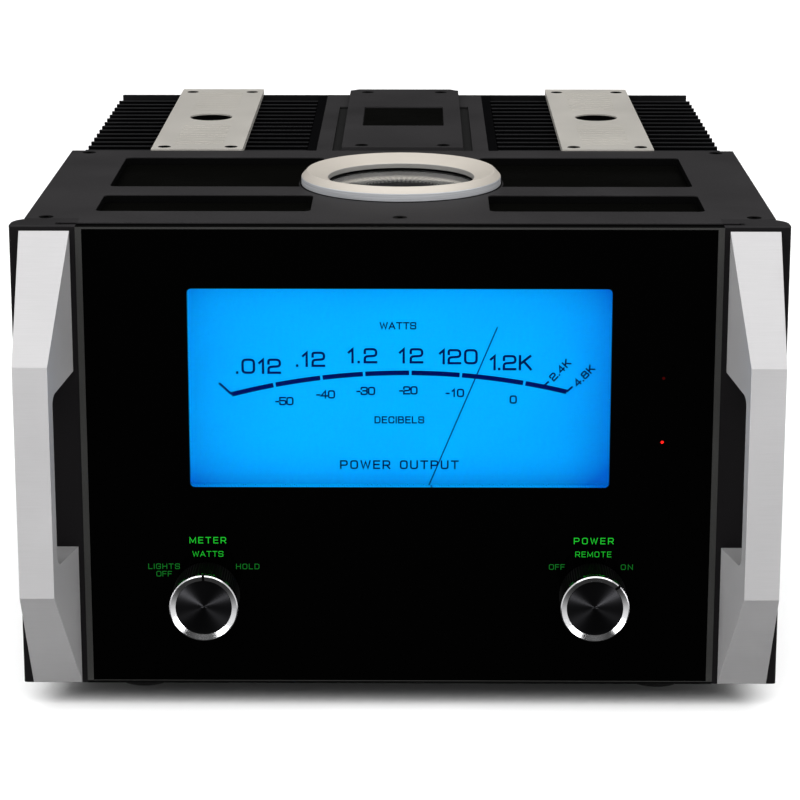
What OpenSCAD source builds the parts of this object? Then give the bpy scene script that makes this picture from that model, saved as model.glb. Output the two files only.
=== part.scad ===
// Monoblock power amplifier with a glass front, a lit meter and two rotary switches
// Sizes are in millimetres. The front faces -Y and the amplifier stands on z = 0.
// Inside placed() the front plane is y = 0 and the underside of the chassis is z = 0.

/* [Front] */
// Width across the two end cheeks
face_w = 444.5; // [430:0.5:470]
// Height of the glass top edge above the chassis underside
face_h = 274; // [268:0.5:290]
// Thickness of the front glass
glass_t = 5; // [4:0.5:6]
// Width of the trim strip beside the glass
trim_w = 3.6; // [2.5:0.1:5]
// Distance that the trim stands proud of the glass
trim_lip = 0.4; // [0.2:0.1:1]
// Thickness of the trim above the glass
trim_top_t = 1; // [0.6:0.1:1.5]
// Thickness of the trim below the glass
trim_bottom_t = 1.7; // [1:0.1:2.5]
// Thickness of the steel panel behind the glass
sub_t = 3; // [2:0.5:4]
// Distance from the top of the glass down to the top of the steel panel
sub_drop = 4; // [2:0.5:8]
// Width of an end cheek
cheek_w = 37.75; // [36:0.05:42]
// Depth of an end cheek
cheek_d = 22; // [18:0.5:26]
// Height of the end cheeks above the glass
cheek_rise = 1.6; // [1:0.1:4]
// Radius of an end cheek's outer front edge
cheek_front_r = 2; // [1.5:0.5:4]
// Radius of an end cheek's outer back edge
cheek_back_r = 13; // [9:0.5:13.5]
// Radius of an end cheek's upper front edge
cheek_top_r = 2.5; // [1:0.25:3]
// Length of the gap behind the glass that runs on into a cheek
cheek_slot = 10; // [6:0.5:12]

/* [Handles] */
// Width of cheek that shows inside a handle
handle_inset = 3.2; // [1:0.1:4]
// Width of cheek that shows outside a handle
handle_margin = 5.75; // [4:0.25:6.5]
// Reach of a handle in front of the glass
handle_d = 43.6; // [38:0.2:52]
// Width of the grip bar
handle_bar_w = 19.9; // [16:0.1:23]
// Depth of the grip bar from front to back
handle_bar_t = 7.2; // [5:0.2:10]
// Height of the lower end of the grip bar's front face
handle_low = 67.6; // [58:0.2:76]
// Distance from the top of the glass down to the top of a handle
handle_drop = 1; // [0.8:0.1:4]
// Distance from the top of a handle down to the upper end of the grip bar's front face
handle_slope = 69.3; // [60:0.1:76]
// Height of the floor of the finger gap
grip_low = 84.5; // [82:0.5:95]
// Distance from the upper end of the front face down to the finger gap's ceiling
grip_drop = 13.2; // [10:0.2:20]
// Fall of the finger gap's ceiling towards the grip bar
grip_fall = 4.5; // [2:0.5:8]
// Radius of the finger gap's corners at the grip bar
grip_r = 6; // [3:0.5:8]
// Radius of a handle bolt
bolt_r = 4; // [3:0.25:5]
// Length of a handle bolt inside the handle
bolt_bite = 14; // [10:0.5:16]
// Height of the lower handle bolt
bolt_low = 40; // [34:1:46]
// Distance from the top of a handle down to the upper handle bolt
bolt_drop = 41; // [34:0.2:48]

/* [Meter] */
// Width of the meter window
meter_w = 243; // [225:1:250]
// Distance from the top of the glass down to the meter window
meter_drop = 34.8; // [30:0.2:40]
// Height of the meter window
meter_h = 118.2; // [110:0.2:124]
// Corner radius of the meter window
meter_r = 2.5; // [1:0.5:5]
// Distance that the steel panel is cut back round the meter window
window_reveal = 4; // [2:0.5:6]
// Room in the light box beyond the window
tray_margin = 8; // [6:0.5:10]
// Wall of the light box
tray_wall = 2; // [1.5:0.25:3]
// Inner depth of the light box
tray_d = 26; // [23:0.5:30]
// Width of the light box's flange
tray_flange = 6; // [4:0.5:8]
// Inner width of the light box's lower leg
leg_w = 92; // [84:1:100]
// Distance from the meter window down to the needle's pivot
pivot_drop = 42.9; // [40:0.1:44]
// Room in the light box below the pivot
leg_drop = 28; // [26:0.5:30]
// Length of the needle from its pivot
needle_len = 147.8; // [138:0.1:149]
// Width of the needle
needle_w = 0.6; // [0.5:0.1:1.2]
// Thickness of the needle
needle_t = 0.6; // [0.4:0.1:0.8]
// Lean of the needle as shown, clockwise from upright
needle_lean = 22.4; // [0:0.2:40]
// Gap between the steel panel and the needle
needle_gap = 1; // [0.6:0.1:1.5]
// Radius of the needle's hub
hub_r = 4; // [3:0.25:5]
// Depth of the needle's hub and counterweight
hub_d = 2.4; // [2:0.1:3]
// Distance from the pivot to the counterweight
tail_len = 16; // [15:0.5:18]
// Radius of the needle's staff
staff_r = 1.2; // [0.8:0.1:1.6]
// Gap between the hub and the dial
dial_gap = 0.6; // [0.4:0.1:1]
// Thickness of the dial
dial_t = 1.2; // [0.8:0.1:2]
// Width and height of the meter movement
movement_w = 32; // [26:1:36]
// Thickness of the lamp board
lamp_board_t = 1.6; // [1:0.2:2.4]
// Radius of a meter lamp
lamp_r = 2.5; // [2:0.25:3]

/* [Controls] */
// Distance of each knob from the centre line
knob_x = 113; // [105:0.5:120]
// Height of the knobs
knob_z = 56; // [50:0.5:60]
// Radius of a knob over its knurl
knob_r = 19.6; // [17:0.1:21]
// Length of a knob
knob_len = 25.5; // [22:0.5:30]
// Gap between a knob and the glass
knob_gap = 1.5; // [1:0.25:2.5]
// Number of grooves in a knob's knurl
knurl_count = 72; // [48:4:96]
// Depth of a knurl groove
knurl_d = 0.5; // [0.3:0.1:0.7]
// Width of a knob's bright ring
ring_w = 3.5; // [2.8:0.1:4.2]
// Depth of a knob's bright ring
ring_d = 4.5; // [3:0.25:6]
// Width of the pointer notch in a knob's ring
notch_w = 1.6; // [1:0.1:2.4]
// Depth of the shallow cone in a knob's face
face_dish = 1.2; // [0.6:0.1:2]
// Turn of the power knob as shown, clockwise from upright
power_turn = 45; // [0:5:60]
// Radius of a switch shaft
shaft_r = 3; // [2.5:0.25:3.5]
// Gap between a knob's face and the end of its shaft
shaft_cover = 6; // [5:0.5:8]
// Width of a rotary switch
switch_w = 30; // [24:1:34]
// Depth of a rotary switch
switch_d = 22; // [18:0.5:25]
// Distance of the indicator lamps from the meter window's side
led_gap = 30.5; // [24:0.5:38]
// Height of the lower indicator lamp above the meter window's lower edge
led_rise = 27.3; // [20:0.1:34]
// Height between the two indicator lamps
led_pitch = 38.5; // [30:0.5:46]
// Radius of an indicator lamp
led_r = 1.5; // [1:0.1:2]

/* [Top cover] */
// Distance that the body's sides are set in from the cheeks
body_step = 6.05; // [5:0.05:9]
// Height of the cover's top above the glass
cover_rise = 1.6; // [1:0.1:3]
// Thickness of the top cover
cover_t = 5; // [4.5:0.25:6]
// Distance from the front plane to the cover's front edge
cover_front = 10; // [9:0.5:14]
// Length of the top cover from front to back
cover_len = 234; // [225:1:245]
// Distance of the windows' outer edges from the cover's sides
window_side = 38.2; // [31.3:0.1:45.3]
// Distance of the front windows' inner edges from the centre line
front_window_in = 52.3; // [48:0.1:60]
// Front edge of the front windows
front_window_y = 43.5; // [42:0.5:48]
// Length of the front windows from front to back
front_window_d = 49.3; // [42:0.1:50]
// Distance of the rear windows' inner edges from the centre line
rear_window_in = 50; // [46:0.5:54]
// Strip of cover between the ring and the rear windows
window_ring_gap = 1.5; // [0.8:0.1:2.5]
// Front edge of the rear windows
rear_window_y = 119.5; // [116:0.5:126]
// Distance from the rear windows to the cover's rear edge
rear_window_margin = 25; // [21:0.5:33]
// Corner radius of the windows
window_r = 4; // [2:0.5:6]
// Thickness of the window panes
pane_t = 2; // [1.5:0.25:3]
// Lap of the panes under the cover
pane_lap = 4; // [3:0.5:6]
// Depth of the rails under the cover
rail_d = 9; // [8:0.5:11]
// Height of the rails under the cover
rail_h = 10; // [8:0.5:14]
// Distance of the cover screws from the cover's sides
cover_screw_side = 12; // [9:0.25:14]

/* [Round window] */
// Distance of the ring's centre from the front plane
ring_y = 132; // [128:0.5:136]
// Outer radius of the ring
ring_r = 61.2; // [58:0.1:63]
// Height of the ring's outer wall
ring_wall_h = 4.8; // [3.5:0.1:6]
// Distance of the ring's ridge from its outer wall
ridge_in = 3.7; // [2:0.1:6]
// Height of the ring's ridge
ridge_h = 8.8; // [7:0.1:11]
// Inner radius of the ring
ring_in_r = 44.7; // [42:0.1:46.5]
// Height of the ring's inner edge
ring_in_h = 4; // [3:0.1:5.5]
// Ledge of the ring over the glass
ring_ledge = 1.8; // [1:0.1:2.5]
// Thickness of the round glass
round_glass_t = 2; // [1.5:0.25:3]
// Depth of the well below the round glass
well_d = 6; // [5:0.25:8]
// Wall and floor of the well
well_wall = 2; // [1.5:0.25:3]
// Radius of the black disc in the well
disc_r = 30; // [26:0.5:34]
// Thickness of the black disc
disc_t = 1.2; // [0.8:0.1:1.6]
// Height of the bright step round the black disc
well_step = 2; // [1.8:0.1:3]

/* [Heat sinks] */
// Distance from the top of the cover down to the fins' tops
sink_drop = 3.2; // [2:0.1:4]
// Gap between the cover and the heat sinks
sink_gap = 2; // [1:0.25:4]
// Distance of the heat sinks' inner faces from the centre line
sink_in = 57; // [54:0.5:58]
// Distance that the fins' outer ends are set in from the body's sides
sink_step = 6.4; // [2:0.1:9.5]
// Thickness of the heat sinks' base plates
sink_base_t = 6; // [5:0.5:8]
// Pitch of the fins
fin_pitch = 15.8; // [14:0.1:16]
// Thickness of a fin
fin_t = 3; // [2:0.25:4]
// Height of the fins' lower edges above the chassis underside
fin_low = 14; // [12:0.5:20]
// Width of the core under a heat sink's cap
core_w = 34; // [32:1:38]
// Radius of the air hole in the core
duct_r = 13.5; // [12:0.25:14]
// Length of the blocks at the ends of the core
block_d = 14; // [13:0.5:16]
// Width of a heat sink's cap
cap_w = 60; // [56:0.5:64]
// Distance of a cap's middle from the fins' outer ends
cap_side = 75; // [71.5:0.5:79.5]
// Thickness of a cap
cap_t = 4; // [3.5:0.25:5]
// Gap between the cover and a cap
cap_gap = 0.6; // [0.4:0.1:1.5]
// Overhang of the caps and the rear cover beyond the rear panel
rear_lip = 2; // [1:0.25:3]
// Radius of the hole in a cap
cap_hole_r = 14.8; // [14.2:0.1:16]
// Distance of the cap's hole from the top cover
cap_hole_d = 129; // [124:0.5:134]
// Number of grooves in each ribbed field of a cap
rib_count = 9; // [6:1:9]
// Pitch of those grooves
rib_pitch = 9; // [7:0.25:9]
// Width of a groove
rib_w = 1.2; // [0.8:0.1:2]
// Depth of a groove
rib_d = 0.6; // [0.3:0.1:1]
// Length of a groove
rib_len = 32; // [28:0.5:36]
// Distance of the cap screws from the cap's sides and ends
cap_screw_in = 8; // [6.5:0.25:9]

/* [Rear cover] */
// Thickness of the deck between the heat sinks
deck_t = 3; // [2:0.25:4]
// Width of the rear cover
rear_cover_w = 80; // [76:0.5:84]
// Gap between the top cover and the rear cover
rear_cover_gap = 9; // [6:0.5:12]
// Thickness of the rear cover
rear_cover_t = 4; // [3.5:0.25:5]
// Width of the sunk field in the rear cover
field_w = 56; // [50:0.5:60]
// Distance of the sunk field from the top cover
field_gap = 94; // [86:0.5:101]
// Length of the sunk field from front to back
field_d = 82; // [70:0.5:86]
// Depth of the sunk field
field_sink = 1.5; // [0.8:0.1:2]
// Width of the channels beside the rear cover
channel_w = 6; // [3:0.25:8]
// Gap between the rear cover and the channels
channel_gap = 0.5; // [0.25:0.25:3]
// Length of the channels beside the rear cover
channel_len = 190; // [170:1:200]
// Depth of the channels beside the rear cover
channel_d = 1.6; // [1:0.1:1.8]
// Distance of the rear cover's screws from its middle
rear_screw_x = 27; // [22:0.5:31]

/* [Chassis] */
// Height of the feet
foot_h = 19; // [14:0.5:24]
// Radius of a foot at its top
foot_r = 20; // [17:0.5:24]
// Taper of a foot's radius towards the floor
foot_taper = 3; // [1:0.5:5]
// Distance of the feet from the body's sides
foot_side = 60.3; // [45.3:0.1:75.3]
// Distance of the front feet from the front plane
foot_front = 60; // [52:1:66]
// Distance of the rear feet from the rear panel's back
foot_back = 58; // [43:1:68]
// Depth of the hollow under a foot
foot_hollow = 7.6; // [5:0.2:9]
// Radius of the hollow under a foot
foot_hollow_r = 6; // [5.6:0.2:9]
// Radius of a foot's screw
foot_screw_r = 2.5; // [2:0.25:3]
// Radius of a foot screw's head
foot_head_r = 5.2; // [4:0.2:5.4]
// Height of a foot screw's head
foot_head_h = 3.5; // [2:0.25:4.5]
// Length of a foot's screw above the chassis underside
foot_screw_end = 9; // [6:0.5:12]
// Thickness of the base pan
base_t = 3; // [2:0.5:4]
// Thickness of the side panels and the bulkhead
wall_t = 3; // [2:0.5:4]
// Length of the heat sink bay behind the top cover
bay_d = 250; // [246:0.5:262]
// Thickness of the rear panel
rear_t = 4; // [3:0.5:5]

/* [Rear sockets] */
// Height of the loudspeaker terminals
terminal_z = 117; // [100:1:130]
// Pitch of the loudspeaker terminals
terminal_pitch = 26; // [22:0.5:27]
// Thickness of the terminal block
terminal_block_t = 6; // [4:0.5:8]
// Height of the terminal block
terminal_block_h = 34; // [30:1:40]
// Corner radius of the terminal block
terminal_block_r = 3; // [1:0.5:5]
// Radius of a terminal's stud
stud_r = 4; // [3.5:0.25:4.5]
// Radius of the hole in a stud for a banana plug
banana_r = 2; // [1.8:0.05:2.2]
// Depth of the hole in a stud
banana_d = 15; // [12:0.5:15]
// Thickness of a stud's collar
collar_t = 3; // [2:0.25:4]
// Step from a nut's edge in to the collar's edge
collar_step = 2; // [1:0.25:3]
// Length of stud inside the rear panel
stud_inner = 8; // [6:0.5:14]
// Radius of a terminal nut
nut_r = 9.5; // [8:0.25:10]
// Length of a terminal nut
nut_len = 10; // [8:0.5:12]
// Number of flutes round a terminal nut
flute_count = 18; // [12:1:24]
// Depth of a flute
flute_d = 0.8; // [0.4:0.1:1.2]
// Length of stud that shows behind a nut
stud_tail = 2.1; // [1:0.1:4]
// Distance from the fins' tops down to the two signal inputs
input_drop = 57.4; // [48:0.2:70]
// Distance of the signal inputs from the centre line
input_x = 27; // [24:0.5:30]
// Radius of the balanced input's barrel
xlr_r = 11.3; // [10.5:0.1:12]
// Radius of the balanced input's insert
xlr_insert_r = 7.7; // [7:0.1:8]
// Width of the ring gap round the insert
xlr_gap = 1.9; // [1.5:0.1:2.2]
// Depth of the ring gap round the insert
xlr_d = 15.8; // [13:0.2:17]
// Radius of the balanced input's pin holes
pin_r = 1.3; // [1.1:0.1:1.5]
// Radius of the circle of pin holes
pin_circle_r = 3.85; // [3.5:0.05:4.5]
// Depth of the pin holes
pin_d = 12.6; // [10:0.2:13]
// Width of the balanced input's flange
xlr_flange_w = 26; // [25:0.5:28]
// Height of the balanced input's flange
xlr_flange_h = 31; // [28:0.5:34]
// Radius of the single-ended input's sleeve
rca_r = 4.15; // [4:0.05:4.3]
// Length of the single-ended input's sleeve
rca_len = 11; // [9:0.5:12]
// Radius of the single-ended input's hole
rca_hole_r = 1.7; // [1.6:0.05:2]
// Radius of the single-ended input's flange
rca_flange_r = 8.3; // [7:0.1:9]
// Length of the single-ended input inside the rear panel
rca_inner = 8.3; // [6:0.1:12]
// Distance from the signal inputs down to the input switch
selector_drop = 37; // [30:1:46]
// Travel of the input switch's slider
selector_travel = 4; // [3:0.25:5]
// Width of the input switch's slider
selector_w = 5.6; // [4.5:0.1:6.5]
// Height of the input switch's slider
selector_h = 5; // [4:0.25:6]
// Distance that the slider stands proud of the rear panel
selector_proud = 5; // [4:0.25:7]
// Depth of the slider's slot inside the rear panel
selector_d = 4; // [3:0.25:6]
// Floor of the slider's slot
selector_floor = 2; // [1.5:0.25:3]
// Width of the input switch's flange
selector_flange_w = 28; // [26:0.5:32]
// Height of the input switch's flange
selector_flange_h = 14; // [12:0.5:16]
// Thickness of the input switch's flange
selector_flange_t = 2; // [1:0.25:3]
// Height of the mains inlet
inlet_z = 42; // [36:1:50]
// Width of the mains inlet's cavity
inlet_w = 29; // [27:0.5:31]
// Height of the mains inlet's cavity
inlet_h = 20; // [18:0.5:22]
// Depth of the mains inlet's cavity
inlet_d = 21; // [19:0.5:23]
// Width of the mains inlet's flange
inlet_flange_w = 50; // [42:0.5:56]
// Height of the mains inlet's flange
inlet_flange_h = 30; // [27:0.5:34]
// Thickness of a blade
blade_t = 2; // [1.5:0.25:2.5]
// Height of a blade
blade_h = 8; // [6:0.25:9]
// Length of a blade
blade_len = 14; // [11:0.5:16]
// Corner radius of the sockets' flanges
flange_r = 2; // [1:0.25:3]

/* [Inside] */
// Radius of a transformer's can
can_r = 70; // [60:1:72]
// Height of a transformer's can
can_h = 120; // [100:1:140]
// Distance of the cans from the centre line
can_x = 102; // [96:1:110]
// Distance of the cans from the front plane
can_y = 140; // [134:1:146]
// Width of a can's flange
can_flange = 5; // [3:0.5:7]
// Thickness of a can's flange
can_flange_t = 5; // [3:0.5:7]
// Chamfer of a can's top edge
can_chamfer = 6; // [3:0.5:9]
// Radius of a filter capacitor
capacitor_r = 22; // [18:0.5:22.5]
// Height of a filter capacitor
capacitor_h = 105; // [90:1:120]
// Pitch of the capacitors from front to back
capacitor_pitch = 52; // [48:1:56]
// Distance of the first capacitors from the top cover
capacitor_gap = 56; // [48:1:66]
// Space between the two rows of capacitors
capacitor_space = 4; // [2:0.5:6]
// Distance of a capacitor's studs from its middle
capacitor_stud_x = 7; // [6:0.5:10]
// Radius of a capacitor's studs
capacitor_stud_r = 3.5; // [2.5:0.25:4]
// Height of a capacitor's studs
capacitor_stud_h = 5; // [3:0.5:8]
// Height of the capacitor clamp's plate
clamp_z = 60; // [50:1:75]
// Thickness of the capacitor clamp's plate
clamp_t = 3; // [2:0.25:4]
// Radius of the capacitor clamp's legs
clamp_leg_r = 3.5; // [3:0.25:4.5]
// Distance of the clamp's ends from the capacitors
clamp_end = 5; // [3:0.5:8]
// Thickness of an output transistor
transistor_t = 5; // [4:0.25:5]
// Width of an output transistor
transistor_w = 20; // [15:0.5:22]
// Height of an output transistor
transistor_h = 26; // [20:0.5:28]
// Pitch of the output transistors
transistor_pitch = 36; // [30:1:38]
// Distance of the first output transistors from the heat sink's front
transistor_start = 16; // [12:0.5:20]
// Distance from the fins' tops down to the upper transistors' lower edges
transistor_drop = 60.4; // [50:0.2:70]
// Height between the two rows of transistors
transistor_row = 52; // [44:1:60]
// Thickness of a driver board
board_t = 1.6; // [1:0.2:2.4]
// Width of board that shows round the transistors
board_edge = 6; // [4:0.5:9]
// Least space between a driver board and the rear panel
board_room = 10; // [6:0.5:14]

/* [Fasteners and fits] */
// Radius of a top screw's head
screw_head_r = 4.2; // [3.5:0.1:4.6]
// Height of a top screw's head
screw_head_h = 2.2; // [1.8:0.1:2.6]
// Radius of a top screw's shank
screw_r = 2; // [1.5:0.1:2.4]
// Length of a top screw's shank
screw_len = 10; // [8:0.5:12]
// Radius of the hexagon in a top screw's head
hexagon_r = 1.9; // [1.5:0.1:2.2]
// Radial clearance of shafts and screws in their holes
running = 0.05; // [0.03:0.01:0.09]
// Clearance between moving pieces and their neighbours
clear = 0.3; // [0.25:0.05:0.5]
// Clearance of fixed pieces in their openings
loose = 0.6; // [0.4:0.1:1]

/* [Hidden] */
$fn = 64;
// Overshoot of cuts past the faces that they open
cut = 1;

// Front
cheek_in = face_w / 2 - cheek_w;
cheek_top = face_h + cheek_rise;
glass_half = cheek_in - trim_w;
sub_y = glass_t;
sub_back = sub_y + sub_t;
sub_top = face_h - sub_drop;
handle_out = face_w / 2 - handle_margin;
handle_in = cheek_in + handle_inset;
handle_mid = (handle_in + handle_out) / 2;
handle_top = face_h - handle_drop;
handle_high = handle_top - handle_slope;
grip_high = handle_high - grip_drop;
grip_back = handle_d - handle_bar_t;
grip_steps = 6;
bolt_high = handle_top - bolt_drop;
bolt_head_r = bolt_r * 1.6;
bolt_head_h = bolt_r * 1.2;

// Meter, from front to back
meter_top = face_h - meter_drop;
meter_low = meter_top - meter_h;
pivot_z = meter_low - pivot_drop;
needle_y = sub_back + needle_gap;
dial_y = needle_y + hub_d + dial_gap;
dial_back = dial_y + dial_t;
tray_back = sub_back + tray_d;
tray_half = meter_w / 2 + tray_margin;
tray_low = meter_low - tray_margin;
tray_top = meter_top + tray_margin;
leg_low = pivot_z - leg_drop;
dial_ledge = 3;
needle_root = needle_w * needle_t;
weight_r = sqrt(needle_root * (pow(needle_len, 2) - pow(tail_len, 2)) / 2 / (tail_len * PI * hub_d));
staff_room = 3;
staff_end = tray_back - staff_room;
lamp_count = 9;
lamp_rows = [0.25, 0.75];

// Controls
knob_back = -knob_gap;
knob_front = knob_back - knob_len;
ring_back = knob_front + ring_d;
ring_lip = 0.2;
ring_out_r = knob_r + ring_lip;
ring_chamfer = ring_w / 6;
ring_slope = ring_w * 0.4;
face_sink = 0.4;
shaft_tip = knob_front + shaft_cover;
shaft_room = 4;
shaft_end = sub_back + switch_d - shaft_room;
led_flange = 1;
led_len = 3 * led_r;
led_x = meter_w / 2 + led_gap;
led_low = meter_low + led_rise;
led_high = led_low + led_pitch;

// Top cover
body_half = face_w / 2 - body_step;
cover_top = face_h + cover_rise;
cover_low = cover_top - cover_t;
cover_back = cover_front + cover_len;
wall_in = body_half - wall_t;
bulkhead_y = cover_back - wall_t;
front_rail_y = cheek_d;
rear_rail_y = bulkhead_y - rail_d;
window_out = body_half - window_side;
rear_window_d = cover_back - rear_window_margin - rear_window_y;
cover_screws = [[-body_half + cover_screw_side, front_rail_y + rail_d / 2],
    [0, front_rail_y + rail_d / 2], [body_half - cover_screw_side, front_rail_y + rail_d / 2],
    [-body_half + cover_screw_side, rear_rail_y + rail_d / 2],
    [body_half - cover_screw_side, rear_rail_y + rail_d / 2]];

// Round window
ridge_r = ring_r - ridge_in;
round_glass_r = ring_in_r + ring_ledge - clear;
well_top = cover_top - round_glass_t;
well_floor = well_top - well_d;
well_flange = 7;

// Heat sinks and rear cover
sink_top = cover_top - sink_drop;
sink_front = cover_back + sink_gap;
sink_out = body_half - sink_step;
rear_y = cover_back + bay_d;
rear_back = rear_y + rear_t;
cap_x = sink_out - cap_side;
cap_front = cover_back + cap_gap;
cap_back = rear_back + rear_lip;
cap_top = sink_top + cap_t;
cap_screw_front = sink_front + cap_screw_in;
cap_screw_back = rear_y - cap_screw_in;
cap_screw_x = cap_w / 2 - cap_screw_in;
cap_hole_y = cover_back + cap_hole_d;
fin_count = floor((rear_y - block_d - fin_t - sink_front) / fin_pitch) + 1;
rib_field = (rib_count - 1) * rib_pitch;
rear_cover_front = cover_back + rear_cover_gap;
rear_cover_top = sink_top + rear_cover_t;
rear_screw_front = rear_cover_front + cap_screw_in;
rear_corner = rear_lip + rear_t;
field_y = cover_back + field_gap;
channel_x = rear_cover_w / 2 + channel_gap;

// Chassis
foot_x = body_half - foot_side;
foot_rear = rear_back - foot_back;

// Rear sockets
stud_count = 4;
stud_x = [for (i = [0 : stud_count - 1]) (i - (stud_count - 1) / 2) * terminal_pitch];
terminal_block_half = stud_count / 2 * terminal_pitch;
collar_y = rear_back + terminal_block_t;
nut_y = collar_y + collar_t + clear;
stud_end = nut_y + nut_len + stud_tail;
socket_flange_t = 3;
socket_face = rear_back + socket_flange_t;
socket_wall = 2.5;
input_z = sink_top - input_drop;
pin_angles = [30, 150, 270];
selector_z = input_z - selector_drop;
selector_slot = (selector_w + selector_travel) / 2 + clear;
selector_slot_h = selector_h / 2 + clear;

// Transistors and their boards
transistor_y = sink_front + transistor_start;
transistor_rows = [sink_top - transistor_drop - transistor_row, sink_top - transistor_drop];
transistor_cols = floor((rear_y - board_room - board_edge - transistor_w - transistor_y)
    / transistor_pitch) + 1;
board_in = sink_in - transistor_t - board_t;
board_back = transistor_y + (transistor_cols - 1) * transistor_pitch + transistor_w + board_edge;

// Capacitors and their clamp
capacitor_x = capacitor_r + capacitor_space / 2;
capacitor_y = cover_back + capacitor_gap;
clamp_half = capacitor_x + capacitor_r;
clamp_front = capacitor_y - capacitor_r - clamp_end;
clamp_back = capacitor_y + capacitor_pitch + capacitor_r + clamp_end;

// The middle of the whole amplifier, from the handles to the terminals
middle_y = (stud_end - handle_d) / 2;

// Moves a piece from the front plane's frame to the amplifier's own frame
module placed() { translate([0, -middle_y, foot_h]) children(); }

// Mirrors a right-hand piece to the left when side is -1
module sided(side) { mirror([side < 0 ? 1 : 0, 0, 0]) children(); }

// Upright plate from y0 to y0 + t, drawn in x and z
module upright(y0, t) { translate([0, y0 + t, 0]) rotate([90, 0, 0]) linear_extrude(t) children(); }

// Level plate from z0 to z0 + t, drawn in x and y
module level(z0, t) { translate([0, 0, z0]) linear_extrude(t) children(); }

// Block between two corners
module block(low, high) { translate(low) cube(high - low); }

// Round bar along y
module bar_y(x, z, r, y0, y1) { translate([x, y0, z]) rotate([-90, 0, 0]) cylinder(r = r, h = y1 - y0); }

// Rectangle between two corners with round corners
module rounded(low, high, r) {
    translate([low[0] + r, low[1]]) square([high[0] - low[0] - 2 * r, high[1] - low[1]]);
    translate([low[0], low[1] + r]) square([high[0] - low[0], high[1] - low[1] - 2 * r]);
    for (x = [low[0] + r, high[0] - r], y = [low[1] + r, high[1] - r]) translate([x, y]) circle(r);
}

// Points on an arc about (cx, cy)
function arc(cx, cy, r, from, to, steps) =
    [for (i = [0 : steps]) let (a = from + (to - from) * i / steps) [cx + r * cos(a), cy + r * sin(a)]];

// Outline with grooves round its edge
function knurl(r, depth, count) =
    [for (i = [0 : 2 * count - 1])
        let (a = 180 * i / count, q = r - (i % 2) * depth) [q * cos(a), q * sin(a)]];

// Light box outline, wide at the window and narrow round the pivot
module tee(grow) {
    translate([-tray_half - grow, tray_low - grow])
        square([2 * (tray_half + grow), tray_top - tray_low + 2 * grow]);
    translate([-leg_w / 2 - grow, leg_low - grow])
        square([leg_w + 2 * grow, tray_low + tray_margin - leg_low]);
}

// Opening in the steel panel behind the meter window
module meter_opening() {
    rounded([-meter_w / 2 - window_reveal, meter_low - window_reveal],
        [meter_w / 2 + window_reveal, meter_top + window_reveal], meter_r);
}

// Front

module front_glass() {
    color([0.02, 0.02, 0.025]) placed() upright(0, glass_t) difference() {
        translate([-glass_half, trim_bottom_t]) square([2 * glass_half, face_h - trim_bottom_t]);
        for (x = [-knob_x, knob_x]) translate([x, knob_z]) circle(shaft_r + loose);
    }
}

module glass_trim() {
    color([0.22, 0.22, 0.23]) placed() upright(-trim_lip, glass_t + trim_lip) difference() {
        translate([-cheek_in, 0]) square([2 * cheek_in, face_h + trim_top_t]);
        translate([-glass_half, trim_bottom_t]) square([2 * glass_half, face_h - trim_bottom_t]);
    }
}

module sub_panel() {
    color([0.05, 0.05, 0.05]) placed() upright(sub_y, sub_t) difference() {
        translate([-cheek_in, base_t]) square([2 * cheek_in, sub_top - base_t]);
        meter_opening();
        for (x = [-knob_x, knob_x]) translate([x, knob_z]) circle(shaft_r + loose);
        for (z = [led_low, led_high]) translate([led_x, z]) circle(led_r + running);
    }
}

// Outline of an end cheek from above, with its two outer edges rounded
module cheek_plan() {
    translate([cheek_in, 0]) square([cheek_w - cheek_back_r, cheek_d]);
    translate([cheek_in, 0]) square([cheek_w - cheek_front_r, cheek_d - cheek_back_r]);
    translate([cheek_in, cheek_front_r]) square([cheek_w, cheek_d - cheek_front_r - cheek_back_r]);
    translate([face_w / 2 - cheek_front_r, cheek_front_r]) circle(cheek_front_r);
    translate([face_w / 2 - cheek_back_r, cheek_d - cheek_back_r]) circle(cheek_back_r);
}

// Side outline of an end cheek in y and z, with its upper front edge rounded
module cheek_side() {
    square([cheek_d, cheek_top - cheek_top_r]);
    translate([cheek_top_r, 0]) square([cheek_d - cheek_top_r, cheek_top]);
    translate([cheek_top_r, cheek_top - cheek_top_r]) circle(cheek_top_r);
}

module end_cheek() {
    difference() {
        intersection() {
            level(0, cheek_top) cheek_plan();
            translate([cheek_in, 0, 0]) rotate([90, 0, 90]) linear_extrude(cheek_w) cheek_side();
        }
        for (z = [bolt_low, bolt_high]) bar_y(handle_mid, z, bolt_r + running, -cut, cheek_d + cut);
        block([cheek_in - cut, glass_t, sub_top], [cheek_in + cheek_slot, cover_front, cheek_top + cut]);
    }
}

module end_cheek_left() { color([0.06, 0.06, 0.06]) placed() sided(-1) end_cheek(); }

module end_cheek_right() { color([0.06, 0.06, 0.06]) placed() end_cheek(); }

// Side outline of a handle, in y and z
module handle_side() {
    back = -grip_back;
    difference() {
        polygon([[0, 0], [-handle_d, handle_low], [-handle_d, handle_high], [0, handle_top]]);
        polygon(concat([[cut, grip_low]], [[cut, grip_high]],
            arc(back + grip_r, grip_high - grip_fall - grip_r, grip_r, 90, 180, grip_steps),
            arc(back + grip_r, grip_low + grip_r, grip_r, 180, 270, grip_steps)));
    }
}

module handle() {
    difference() {
        intersection() {
            translate([handle_in, 0, 0]) rotate([90, 0, 90])
                linear_extrude(handle_out - handle_in) handle_side();
            linear_extrude(handle_top) polygon([[handle_in, 0], [handle_out, 0], [handle_out, -handle_d],
                [handle_out - handle_bar_w, -handle_d]]);
        }
        for (z = [bolt_low, bolt_high]) bar_y(handle_mid, z, bolt_r + running, -bolt_bite - running, cut);
    }
}

module handle_left() { color([0.78, 0.78, 0.78]) placed() sided(-1) handle(); }

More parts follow.
